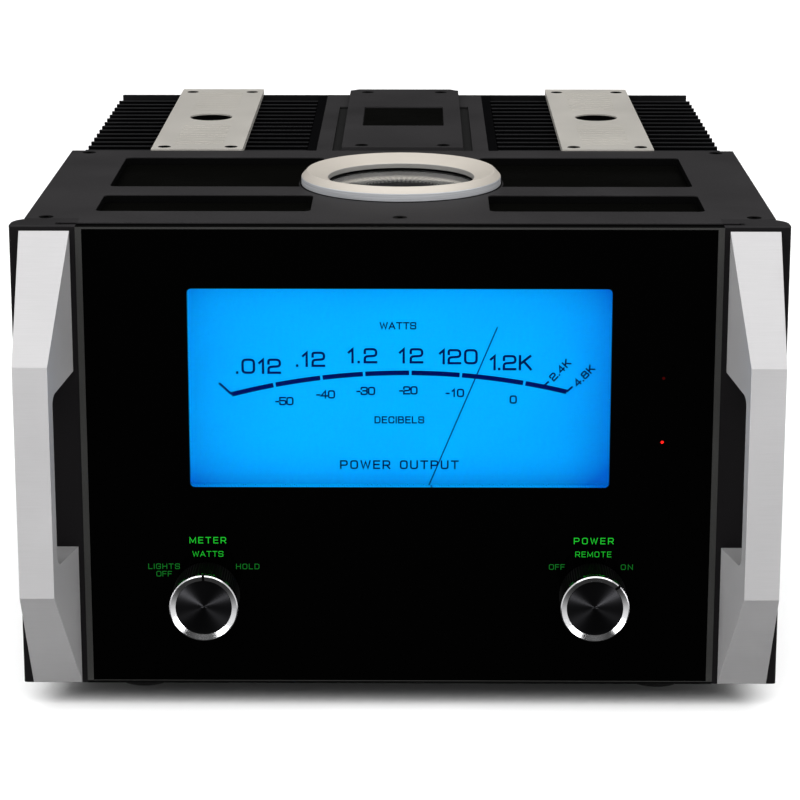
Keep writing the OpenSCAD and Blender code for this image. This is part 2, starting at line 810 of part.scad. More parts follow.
module handle_right() { color([0.78, 0.78, 0.78]) placed() handle(); }

module handle_bolts() {
    color([0.35, 0.35, 0.37]) placed() for (side = [-1, 1], z = [bolt_low, bolt_high]) {
        bar_y(side * handle_mid, z, bolt_r, -bolt_bite, cheek_d);
        bar_y(side * handle_mid, z, bolt_head_r, cheek_d, cheek_d + bolt_head_h);
    }
}

// Meter

module meter_housing() {
    color([0.9, 0.9, 0.88]) placed() difference() {
        union() {
            upright(sub_back, tray_d + tray_wall) tee(tray_wall);
            upright(sub_back, tray_wall) tee(tray_wall + tray_flange);
        }
        translate([0, -cut, 0]) upright(sub_back, dial_back - sub_back + cut) tee(0);
        translate([0, -cut, 0]) upright(sub_back, tray_d + cut) tee(-dial_ledge);
    }
}

module meter_dial() {
    color([0.05, 0.62, 0.98]) placed() upright(dial_y, dial_t) difference() {
        tee(-clear);
        translate([0, pivot_z]) circle(staff_r + loose);
    }
}

module meter_movement() {
    color([0.15, 0.15, 0.16]) placed() difference() {
        block([-movement_w / 2, dial_back, pivot_z - movement_w / 2],
            [movement_w / 2, tray_back, pivot_z + movement_w / 2]);
        bar_y(0, pivot_z, staff_r + running, dial_back - cut, staff_end + clear);
    }
}

// The tail's counterweight balances the needle about its staff
module meter_needle() {
    color([0.08, 0.08, 0.1]) placed() translate([0, needle_y, pivot_z]) rotate([0, needle_lean, 0]) {
        translate([-needle_w / 2, 0, -tail_len]) cube([needle_w, needle_t, tail_len + needle_len]);
        bar_y(0, 0, hub_r, 0, hub_d);
        bar_y(0, -tail_len, weight_r, 0, hub_d);
        bar_y(0, 0, staff_r, 0, staff_end - needle_y);
    }
}

module meter_lamp_board() {
    color([0.1, 0.35, 0.2]) placed() {
        lamp_pitch = (meter_w - 2 * tray_margin) / lamp_count;
        block([-meter_w / 2, tray_back - lamp_board_t, meter_low],
            [meter_w / 2, tray_back, meter_top]);
        for (i = [0 : lamp_count - 1], row = lamp_rows)
            bar_y((i - (lamp_count - 1) / 2) * lamp_pitch, meter_low + meter_h * row, lamp_r,
                tray_back - lamp_board_t - lamp_r, tray_back - lamp_board_t);
    }
}

// Controls

module rotary_switch(x) {
    difference() {
        block([x - switch_w / 2, sub_back, knob_z - switch_w / 2],
            [x + switch_w / 2, sub_back + switch_d, knob_z + switch_w / 2]);
        bar_y(x, knob_z, shaft_r + running, sub_back - cut, shaft_end + clear);
    }
}

module knob(x) {
    translate([x, 0, knob_z]) difference() {
        union() {
            upright(ring_back, knob_back - ring_back) polygon(knurl(knob_r, knurl_d, knurl_count));
            translate([0, ring_back, 0]) rotate([90, 0, 0]) rotate_extrude() polygon([[0, 0],
                [ring_out_r - ring_w, 0], [ring_out_r - ring_w, ring_d - ring_slope - face_sink],
                [0, ring_d - ring_slope - face_sink - face_dish]]);
        }
        bar_y(0, 0, shaft_r + running, shaft_tip - running, knob_back + cut);
    }
}

// Bright ring with a pointer notch, turned clockwise from upright
module knob_ring(x, turn) {
    translate([x, ring_back, knob_z]) rotate([0, turn, 0]) difference() {
        rotate([90, 0, 0]) rotate_extrude() polygon([[ring_out_r - ring_w, 0], [ring_out_r, 0],
            [ring_out_r, ring_d - ring_chamfer], [ring_out_r - ring_chamfer, ring_d],
            [ring_out_r - ring_w, ring_d - ring_slope]]);
        block([-notch_w / 2, -ring_d - cut, ring_out_r - 2 * ring_w],
            [notch_w / 2, -ring_d / 3, ring_out_r + cut]);
    }
}

module meter_switch() { color([0.18, 0.18, 0.2]) placed() rotary_switch(-knob_x); }

module power_switch() { color([0.18, 0.18, 0.2]) placed() rotary_switch(knob_x); }

module meter_switch_shaft() {
    color([0.7, 0.7, 0.7]) placed() bar_y(-knob_x, knob_z, shaft_r, shaft_tip, shaft_end);
}

module power_switch_shaft() {
    color([0.7, 0.7, 0.7]) placed() bar_y(knob_x, knob_z, shaft_r, shaft_tip, shaft_end);
}

module meter_knob() { color([0.04, 0.04, 0.04]) placed() knob(-knob_x); }

module power_knob() { color([0.04, 0.04, 0.04]) placed() knob(knob_x); }

module meter_knob_ring() { color([0.85, 0.85, 0.87]) placed() knob_ring(-knob_x, 0); }

module power_knob_ring() { color([0.85, 0.85, 0.87]) placed() knob_ring(knob_x, power_turn); }

module indicator_leds() {
    color([0.8, 0.05, 0.05]) placed() for (z = [led_low, led_high]) {
        bar_y(led_x, z, led_r, sub_y, sub_back + led_len);
        bar_y(led_x, z, led_r + led_flange, sub_back, sub_back + led_flange);
    }
}

// Top cover

module cover_windows(grow) {
    for (side = [-1, 1]) mirror([side < 0 ? 1 : 0, 0]) {
        rounded([front_window_in - grow, front_window_y - grow],
            [window_out + grow, front_window_y + front_window_d + grow], window_r);
        difference() {
            rounded([rear_window_in - grow, rear_window_y - grow],
                [window_out + grow, rear_window_y + rear_window_d + grow], window_r);
            translate([0, ring_y]) circle(ring_r + window_ring_gap - grow);
        }
    }
}

// Hole for a top screw, sunk for its head
module screw_hole(x, y, z, depth) {
    translate([x, y, z - depth]) cylinder(r = screw_r + running, h = depth + cut);
    translate([x, y, z - screw_head_h]) cylinder(r = screw_head_r + running, h = screw_head_h + cut);
}

module top_cover() {
    color([0.2, 0.2, 0.21]) placed() difference() {
        level(cover_low, cover_t) difference() {
            translate([-body_half, cover_front]) square([2 * body_half, cover_len]);
            translate([-body_half - cut, cover_front - cut])
                square([body_half + cut - cheek_in, cheek_d - cover_front + cut]);
            translate([cheek_in, cover_front - cut])
                square([body_half + cut - cheek_in, cheek_d - cover_front + cut]);
            cover_windows(0);
            translate([0, ring_y]) circle(ring_in_r + ring_ledge);
        }
        for (p = cover_screws) screw_hole(p[0], p[1], cover_top, cover_t + cut);
    }
}

module cover_rails() {
    color([0.3, 0.3, 0.3]) placed() difference() {
        for (y = [front_rail_y, rear_rail_y])
            block([-wall_in, y, cover_low - rail_h], [wall_in, y + rail_d, cover_low]);
        for (p = cover_screws)
            translate([p[0], p[1], cover_low - rail_h - cut])
                cylinder(r = screw_r + running, h = rail_h + 2 * cut);
    }
}

module cover_panes() {
    color([0.03, 0.03, 0.03]) placed() level(cover_low - pane_t, pane_t) cover_windows(pane_lap);
}

module window_ring() {
    color([0.86, 0.84, 0.8]) placed() translate([0, ring_y, cover_top]) rotate_extrude()
        polygon([[ring_in_r, 0], [ring_r, 0], [ring_r, ring_wall_h], [ridge_r, ridge_h],
            [ring_in_r, ring_in_h]]);
}

module window_glass() {
    color([0.6, 0.65, 0.7, 0.4]) placed() translate([0, ring_y, well_top])
        cylinder(r = round_glass_r, h = round_glass_t);
}

// Cup under the round glass, with a bright step round the disc and a flange under the cover
module badge_well() {
    color([0.7, 0.69, 0.67]) placed() translate([0, ring_y, well_floor]) rotate_extrude()
        polygon([[0, -well_wall], [round_glass_r + well_flange, -well_wall],
            [round_glass_r + well_flange, cover_low - well_floor], [round_glass_r, cover_low - well_floor],
            [round_glass_r, well_d], [round_glass_r - well_wall, well_d],
            [round_glass_r - well_wall, well_step], [disc_r + clear, well_step],
            [disc_r + clear, 0], [0, 0]]);
}

module badge_disc() {
    color([0.03, 0.03, 0.03]) placed() translate([0, ring_y, well_floor]) cylinder(r = disc_r, h = disc_t);
}

// Heat sinks

module heatsink() {
    core_in = cap_x - core_w / 2;
    difference() {
        union() {
            level(base_t, sink_top - base_t) {
                translate([sink_in, sink_front]) square([sink_base_t, rear_y - sink_front]);
                translate([core_in, sink_front]) square([core_w, rear_y - sink_front]);
                for (y = [sink_front, rear_y - block_d])
                    translate([cap_x - cap_w / 2, y]) square([cap_w, block_d]);
            }
            level(fin_low, sink_top - fin_low)
                for (i = [0 : fin_count - 1])
                    translate([sink_in, sink_front + i * fin_pitch]) square([sink_out - sink_in, fin_t]);
        }
        translate([cap_x, cap_hole_y, base_t - cut]) cylinder(r = duct_r, h = sink_top - base_t + 2 * cut);
        for (x = [-1, 1], y = [cap_screw_front, cap_screw_back])
            translate([cap_x + x * cap_screw_x, y, sink_top - screw_len])
                cylinder(r = screw_r + running, h = screw_len + cut);
    }
}

module heatsink_left() { color([0.07, 0.07, 0.07]) placed() sided(-1) heatsink(); }

module heatsink_right() { color([0.07, 0.07, 0.07]) placed() heatsink(); }

module heatsink_cap() {
    rib_front = (cap_front + cap_hole_y - cap_hole_r) / 2;
    rib_back = (cap_back + cap_hole_y + cap_hole_r) / 2;
    difference() {
        block([cap_x - cap_w / 2, cap_front, sink_top], [cap_x + cap_w / 2, cap_back, cap_top]);
        translate([cap_x, cap_hole_y, sink_top - cut]) cylinder(r = cap_hole_r, h = cap_t + 2 * cut);
        for (y = [rib_front, rib_back], i = [0 : rib_count - 1])
            translate([cap_x - rib_len / 2, y - rib_field / 2 + i * rib_pitch - rib_w / 2, cap_top - rib_d])
                cube([rib_len, rib_w, rib_d + cut]);
        for (x = [-1, 1], y = [cap_screw_front, cap_screw_back])
            screw_hole(cap_x + x * cap_screw_x, y, cap_top, cap_t + cut);
    }
}

module heatsink_cap_left() { color([0.77, 0.75, 0.73]) placed() sided(-1) heatsink_cap(); }

module heatsink_cap_right() { color([0.77, 0.75, 0.73]) placed() heatsink_cap(); }

// Rear cover

module rear_deck() {
    color([0.2, 0.2, 0.21]) placed() difference() {
        block([-sink_in, cover_back, sink_top - deck_t], [sink_in, rear_y, sink_top]);
        for (x = [-channel_x - channel_w, channel_x])
            block([x, rear_cover_front, sink_top - channel_d],
                [x + channel_w, rear_cover_front + channel_len, sink_top + cut]);
        for (x = [-rear_screw_x, rear_screw_x], y = [rear_screw_front, cap_screw_back])
            translate([x, y, sink_top - deck_t - cut]) cylinder(r = screw_r + running, h = deck_t + 2 * cut);
    }
}

module rear_cover() {
    half = rear_cover_w / 2;
    color([0.21, 0.21, 0.22]) placed() difference() {
        level(sink_top, rear_cover_t) polygon([[-half, rear_cover_front], [half, rear_cover_front],
            [half, cap_back - rear_corner], [half - rear_corner, cap_back],
            [rear_corner - half, cap_back], [-half, cap_back - rear_corner]]);
        block([-field_w / 2, field_y, rear_cover_top - field_sink],
            [field_w / 2, field_y + field_d, rear_cover_top + cut]);
        for (x = [-rear_screw_x, rear_screw_x], y = [rear_screw_front, cap_screw_back])
            screw_hole(x, y, rear_cover_top, rear_cover_t + cut);
    }
}

module top_screw(x, y, z) {
    translate([x, y, z - screw_len]) cylinder(r = screw_r, h = screw_len - screw_head_h);
    translate([x, y, z - screw_head_h]) difference() {
        cylinder(r = screw_head_r, h = screw_head_h);
        translate([0, 0, screw_head_h / 2]) cylinder(r = hexagon_r, h = screw_head_h, $fn = 6);
    }
}

module top_screws() {
    color([0.1, 0.1, 0.1]) placed() {
        for (p = cover_screws) top_screw(p[0], p[1], cover_top);
        for (side = [-1, 1], x = [-1, 1], y = [cap_screw_front, cap_screw_back])
            top_screw(side * cap_x + x * cap_screw_x, y, cap_top);
        for (x = [-rear_screw_x, rear_screw_x], y = [rear_screw_front, cap_screw_back])
            top_screw(x, y, rear_cover_top);
    }
}

// Chassis

module foot_places() {
    for (x = [-foot_x, foot_x], y = [foot_front, foot_rear]) translate([x, y, 0]) children();
}

module base_pan() {
    color([0.08, 0.08, 0.08]) placed() difference() {
        level(0, base_t) {
            translate([-body_half, cheek_d]) square([2 * body_half, rear_back - cheek_d]);
            translate([-cheek_in, sub_y]) square([2 * cheek_in, cheek_d - sub_y]);
        }
        foot_places() translate([0, 0, -cut]) cylinder(r = foot_screw_r + running, h = base_t + 2 * cut);
    }
}

module side_panel() { block([wall_in, cheek_d, base_t], [body_half, cover_back, cover_low]); }

module side_panel_left() { color([0.07, 0.07, 0.07]) placed() sided(-1) side_panel(); }

module side_panel_right() { color([0.07, 0.07, 0.07]) placed() side_panel(); }

module bulkhead() {
    color([0.09, 0.09, 0.09]) placed()
        block([-wall_in, bulkhead_y, base_t], [wall_in, cover_back, cover_low]);
}

module rear_panel() {
    color([0.06, 0.06, 0.06]) placed() upright(rear_y, rear_t) difference() {
        translate([-sink_out, base_t]) square([2 * sink_out, sink_top - base_t]);
        for (x = stud_x) translate([x, terminal_z]) circle(stud_r + loose);
        translate([-input_x, input_z]) circle(xlr_r + clear);
        translate([input_x, input_z]) circle(rca_r + loose);
        translate([-selector_slot - socket_wall - clear, selector_z - selector_slot_h - socket_wall - clear])
            square(2 * [selector_slot + socket_wall + clear, selector_slot_h + socket_wall + clear]);
        translate([-inlet_w / 2 - socket_wall - clear, inlet_z - inlet_h / 2 - socket_wall - clear])
            square([inlet_w, inlet_h] + 2 * (socket_wall + clear) * [1, 1]);
    }
}

module feet() {
    color([0.05, 0.05, 0.05]) placed() foot_places() translate([0, 0, -foot_h]) difference() {
        rotate_extrude() polygon([[0, 0], [foot_r - foot_taper, 0], [foot_r, foot_taper], [foot_r, foot_h],
            [0, foot_h]]);
        translate([0, 0, -cut]) cylinder(r = foot_hollow_r, h = foot_hollow + cut);
        cylinder(r = foot_screw_r + running, h = foot_h + cut);
    }
}

module foot_screws() {
    color([0.4, 0.4, 0.42]) placed() foot_places() translate([0, 0, foot_hollow - foot_h]) {
        cylinder(r = foot_screw_r, h = foot_h - foot_hollow + foot_screw_end);
        translate([0, 0, -foot_head_h]) cylinder(r = foot_head_r, h = foot_head_h);
    }
}

// Rear sockets

module terminal_block() {
    color([0.08, 0.08, 0.08]) placed() upright(rear_back, terminal_block_t) difference() {
        rounded([-terminal_block_half, terminal_z - terminal_block_h / 2],
            [terminal_block_half, terminal_z + terminal_block_h / 2], terminal_block_r);
        for (x = stud_x) translate([x, terminal_z]) circle(stud_r + running);
    }
}

module terminal_studs() {
    color([0.83, 0.66, 0.3]) placed() for (x = stud_x) difference() {
        union() {
            bar_y(x, terminal_z, stud_r, rear_y - stud_inner, stud_end);
            bar_y(x, terminal_z, nut_r - collar_step, collar_y, collar_y + collar_t);
        }
        bar_y(x, terminal_z, banana_r, stud_end - banana_d, stud_end + cut);
    }
}

module terminal_nut(x) {
    translate([x, 0, terminal_z]) difference() {
        upright(nut_y, nut_len) polygon(knurl(nut_r, flute_d, flute_count));
        bar_y(0, 0, stud_r + running, nut_y - cut, nut_y + nut_len + cut);
    }
}

module terminal_nut_1() { color([0.83, 0.66, 0.3]) placed() terminal_nut(stud_x[0]); }

module terminal_nut_2() { color([0.83, 0.66, 0.3]) placed() terminal_nut(stud_x[1]); }

module terminal_nut_3() { color([0.83, 0.66, 0.3]) placed() terminal_nut(stud_x[2]); }

module terminal_nut_4() { color([0.83, 0.66, 0.3]) placed() terminal_nut(stud_x[3]); }

// Balanced input: a shell, and an insert with three pin holes that stands in it
module xlr_input() {
    floor_y = socket_face - xlr_d;
    color([0.12, 0.12, 0.13]) placed() translate([-input_x, 0, input_z]) {
        difference() {
            union() {
                upright(rear_back, socket_flange_t)
                    rounded([-xlr_flange_w, -xlr_flange_h] / 2, [xlr_flange_w, xlr_flange_h] / 2, flange_r);
                bar_y(0, 0, xlr_r, floor_y - socket_wall, rear_back);
            }
            bar_y(0, 0, xlr_insert_r + xlr_gap, floor_y, socket_face + cut);
        }
        difference() {
            bar_y(0, 0, xlr_insert_r, floor_y + running, socket_face);
            for (a = pin_angles)
                bar_y(pin_circle_r * cos(a), pin_circle_r * sin(a), pin_r, socket_face - pin_d,
                    socket_face + cut);
        }
    }
}

module rca_input() {
    color([0.83, 0.66, 0.3]) placed() translate([input_x, 0, input_z]) difference() {
        union() {
            bar_y(0, 0, rca_r, rear_y - rca_inner, rear_back + rca_len);
            bar_y(0, 0, rca_flange_r, rear_back, socket_face);
        }
        bar_y(0, 0, rca_hole_r, socket_face, rear_back + rca_len + cut);
    }
}

// Mains inlet with three flat blades in a cavity
module mains_inlet() {
    floor_y = socket_face - inlet_d;
    color([0.1, 0.1, 0.1]) placed() translate([0, 0, inlet_z]) {
        difference() {
            union() {
                upright(rear_back, socket_flange_t)
                    rounded([-inlet_flange_w, -inlet_flange_h] / 2,
                        [inlet_flange_w, inlet_flange_h] / 2, flange_r);
                block([-inlet_w / 2 - socket_wall, floor_y - socket_wall, -inlet_h / 2 - socket_wall],
                    [inlet_w / 2 + socket_wall, rear_back, inlet_h / 2 + socket_wall]);
            }
            block([-inlet_w / 2, floor_y, -inlet_h / 2], [inlet_w / 2, socket_face + cut, inlet_h / 2]);
        }
        for (x = [-1, 0, 1])
            translate([x * inlet_w / 4 - blade_t / 2, floor_y, -blade_h / 2])
                cube([blade_t, blade_len, blade_h]);
    }
}

module input_switch_body() {
    slot_floor = rear_y - selector_d;
    flange_face = rear_back + selector_flange_t;
    color([0.15, 0.15, 0.16]) placed() translate([0, 0, selector_z]) difference() {
        union() {
            upright(rear_back, selector_flange_t) rounded([-selector_flange_w, -selector_flange_h] / 2,
                [selector_flange_w, selector_flange_h] / 2, flange_r);
            block([-selector_slot - socket_wall, slot_floor - selector_floor,
                -selector_slot_h - socket_wall],
                [selector_slot + socket_wall, rear_back, selector_slot_h + socket_wall]);
        }
        block([-selector_slot, slot_floor, -selector_slot_h],
            [selector_slot, flange_face + cut, selector_slot_h]);
    }
}

module input_switch_slider() {
    color([0.8, 0.8, 0.8]) placed() translate([-selector_travel / 2, 0, selector_z])
        block([-selector_w / 2, rear_y - selector_d + clear, -selector_h / 2],
            [selector_w / 2, rear_back + selector_proud, selector_h / 2]);
}

// Inside

module transformer(side) {
    translate([side * can_x, can_y, base_t]) rotate_extrude() polygon([[0, 0], [can_r + can_flange, 0],
        [can_r + can_flange, can_flange_t], [can_r, can_flange_t], [can_r, can_h - can_chamfer],
        [can_r - can_chamfer, can_h], [0, can_h]]);
}

module power_transformer() { color([0.1, 0.1, 0.11]) placed() transformer(-1); }

module output_transformer() { color([0.1, 0.1, 0.11]) placed() transformer(1); }

module capacitor_places() {
    for (x = [-capacitor_x, capacitor_x], y = [capacitor_y, capacitor_y + capacitor_pitch])
        translate([x, y, 0]) children();
}

module filter_capacitors() {
    color([0.12, 0.2, 0.45]) placed() capacitor_places() translate([0, 0, base_t]) {
        cylinder(r = capacitor_r, h = capacitor_h);
        for (x = [-capacitor_stud_x, capacitor_stud_x])
            translate([x, 0, capacitor_h]) cylinder(r = capacitor_stud_r, h = capacitor_stud_h);
    }
}

module capacitor_clamp() {
    leg_x = clamp_half - clamp_leg_r;
    color([0.5, 0.5, 0.52]) placed() difference() {
        union() {
            block([-clamp_half, clamp_front, clamp_z], [clamp_half, clamp_back, clamp_z + clamp_t]);
            for (x = [-leg_x, leg_x], y = [clamp_front + clamp_leg_r, clamp_back - clamp_leg_r])
                translate([x, y, base_t]) cylinder(r = clamp_leg_r, h = clamp_z - base_t);
        }
        capacitor_places() translate([0, 0, clamp_z - cut])
            cylinder(r = capacitor_r + clear, h = clamp_t + 2 * cut);
    }
}

module driver_boards() {
    color([0.1, 0.35, 0.2]) placed() for (side = [-1, 1]) sided(side)
        block([board_in, transistor_y - board_edge, transistor_rows[0] - board_edge],
            [board_in + board_t, board_back, transistor_rows[1] + transistor_h + board_edge]);
}

module output_transistors() {
    color([0.13, 0.13, 0.14]) placed()
        for (side = [-1, 1], i = [0 : transistor_cols - 1], z = transistor_rows) sided(side)
            translate([sink_in - transistor_t, transistor_y + i * transistor_pitch, z])
                cube([transistor_t, transistor_w, transistor_h]);
}

front_glass();
glass_trim();
sub_panel();
end_cheek_left();
end_cheek_right();
handle_left();
handle_right();
handle_bolts();
meter_housing();
meter_dial();
meter_movement();
meter_needle();
meter_lamp_board();
meter_switch();
meter_switch_shaft();
meter_knob();
meter_knob_ring();
power_switch();
power_switch_shaft();
power_knob();
power_knob_ring();
indicator_leds();
top_cover();
cover_rails();
cover_panes();
window_ring();
window_glass();
badge_well();
badge_disc();
heatsink_left();
heatsink_right();
heatsink_cap_left();
heatsink_cap_right();
rear_deck();
rear_cover();
top_screws();
base_pan();
side_panel_left();
side_panel_right();
bulkhead();
rear_panel();
feet();
foot_screws();
terminal_block();
terminal_studs();
terminal_nut_1();
terminal_nut_2();
terminal_nut_3();
terminal_nut_4();
xlr_input();
rca_input();
mains_inlet();
input_switch_body();
input_switch_slider();
power_transformer();
output_transformer();
filter_capacitors();
capacitor_clamp();
driver_boards();
output_transistors();
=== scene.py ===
"""Looks of a monoblock power amplifier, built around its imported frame.

Sizes are in millimetres in the design frame of the front: x to the right, y back from the glass and z up
from the chassis underside. spot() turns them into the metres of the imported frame.
"""

import logging
import math
from dataclasses import dataclass, field
from enum import Enum
from typing import Any, Iterable, Sequence

import bmesh
import bpy
from mathutils import Matrix, Vector


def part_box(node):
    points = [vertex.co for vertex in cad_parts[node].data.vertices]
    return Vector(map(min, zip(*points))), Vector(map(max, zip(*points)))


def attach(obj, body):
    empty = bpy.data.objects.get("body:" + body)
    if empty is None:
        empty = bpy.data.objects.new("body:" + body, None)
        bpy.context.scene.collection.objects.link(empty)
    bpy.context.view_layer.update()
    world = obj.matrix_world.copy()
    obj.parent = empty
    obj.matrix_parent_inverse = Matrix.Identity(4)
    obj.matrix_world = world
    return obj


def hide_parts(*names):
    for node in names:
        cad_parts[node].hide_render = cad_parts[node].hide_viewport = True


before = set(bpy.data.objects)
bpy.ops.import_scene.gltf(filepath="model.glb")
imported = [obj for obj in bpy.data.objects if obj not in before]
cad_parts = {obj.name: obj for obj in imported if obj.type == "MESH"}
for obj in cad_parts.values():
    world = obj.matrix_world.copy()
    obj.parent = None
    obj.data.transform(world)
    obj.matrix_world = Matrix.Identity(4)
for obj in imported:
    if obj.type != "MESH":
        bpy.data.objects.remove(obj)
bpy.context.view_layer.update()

MM = 0.001
FRONT_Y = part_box("front_glass")[0].y
CHASSIS_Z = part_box("base_pan")[0].z
EDGE_FADE = 0.05 * MM
FAR = 9999.0
CORNER_STEPS = 6
LOG = logging.getLogger("amplifier")

Colour = tuple[float, float, float]
Point = tuple[float, float]
Piece = bpy.types.Object
Socket = bpy.types.NodeSocket


def spot(x: float, y: float, z: float) -> Vector:
    """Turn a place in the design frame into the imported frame.

    Args:
        x: Millimetres to the right of the middle.
        y: Millimetres behind the front of the glass.
        z: Millimetres above the chassis underside.

    Returns:
        The place in metres.
    """
    return Vector((x * MM, FRONT_Y + y * MM, CHASSIS_Z + z * MM))


def design_box(node: str) -> tuple[Vector, Vector]:
    """Return a node's lowest and highest corners in the design frame.

    Args:
        node: Name of the node.

    Returns:
        The two corners in millimetres.
    """
    low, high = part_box(node)
    start = spot(0, 0, 0)
    return (low - start) / MM, (high - start) / MM


def screen(red: int, green: int, blue: int) -> Colour:
    """Turn a screen colour of 0 to 255 into linear light.

    Args:
        red: Red on the screen.
        green: Green on the screen.
        blue: Blue on the screen.

    Returns:
        The three linear values.
    """
    shares = (red / 255, green / 255, blue / 255)
    return tuple(s / 12.92 if s <= 0.04045 else ((s + 0.055) / 1.055) ** 2.4 for s in shares)


def shade(colour: Colour, factor: float) -> Colour:
    """Lighten or darken a colour.

    Args:
        colour: Linear colour.
        factor: Number that each channel is multiplied by.

    Returns:
        The new linear colour, at most white.
    """
    return tuple(min(1.0, c * factor) for c in colour)


class Axis(Enum):
    """Axis of the frame."""

    X = 0
    Y = 1
    Z = 2

    @property
    def across(self) -> tuple[float, float, float]:
        """Mask that keeps the two other axes."""
        return tuple(0.0 if i == self.value else 1.0 for i in range(3))


@dataclass(frozen=True)
class Limit:
    """Range of one coordinate of the design frame, in millimetres."""

    axis: Axis
    low: float = -FAR
    high: float = FAR


class Side(Enum):
    """Side of the amplifier, seen from the front."""

    LEFT = -1
    RIGHT = 1

    @property
    def word(self) -> str:
        """Word for the side in the names of pieces."""
        return self.name.lower()

    def beyond(self, distance: float) -> Limit:
        """Return the range of x further out than a distance from the middle."""
        return Limit(Axis.X, *sorted((self.value * distance, self.value * FAR)))


class Grain(Enum):
    """Way that a metal face was worked."""

    BLASTED = "blasted"
    BRUSHED = "brushed"
    TURNED = "turned"
    POLISHED = "polished"


class Nodes:
    """Node tree with short methods for the nodes that finishes and surroundings share."""

    def __init__(self, tree: bpy.types.NodeTree) -> None:
        """Start on the node tree of a material or of the surroundings."""
        self.tree = tree
        self.coordinates = tree.nodes.new("ShaderNodeTexCoord")

    def feed(self, socket: Socket, value: Any) -> None:
        """Give a socket a value or a link.

        Args:
            socket: Input socket.
            value: Output socket to link, or a plain value.
        """
        if isinstance(value, bpy.types.NodeSocket):
            self.tree.links.new(value, socket)
        elif isinstance(value, tuple) and socket.type == "RGBA":
            socket.default_value = (*value, 1.0)
        else:
            socket.default_value = value

    def node(self, kind: str, inputs: dict[int | str, Any], **settings: Any) -> bpy.types.Node:
        """Add a node.

        Args:
            kind: Blender's name of the node type.
            inputs: Values or links by socket name or number.
            settings: Other properties of the node.

        Returns:
            The new node.
        """
        made = self.tree.nodes.new(kind)
        for key, value in settings.items():
            setattr(made, key, value)
        for key, value in inputs.items():
            self.feed(made.inputs[key], value)
        return made

    def math(self, operation: str, first: Any, second: Any = 0.0) -> Socket:
        """Return the result of a Math node's operation on two numbers or links."""
        return self.node("ShaderNodeMath", {0: first, 1: second}, operation=operation).outputs[0]

    def mean(self, first: Socket, second: Socket) -> Socket:
        """Return the mean of two numbers."""
        return self.math("MULTIPLY", self.math("ADD", first, second), 0.5)


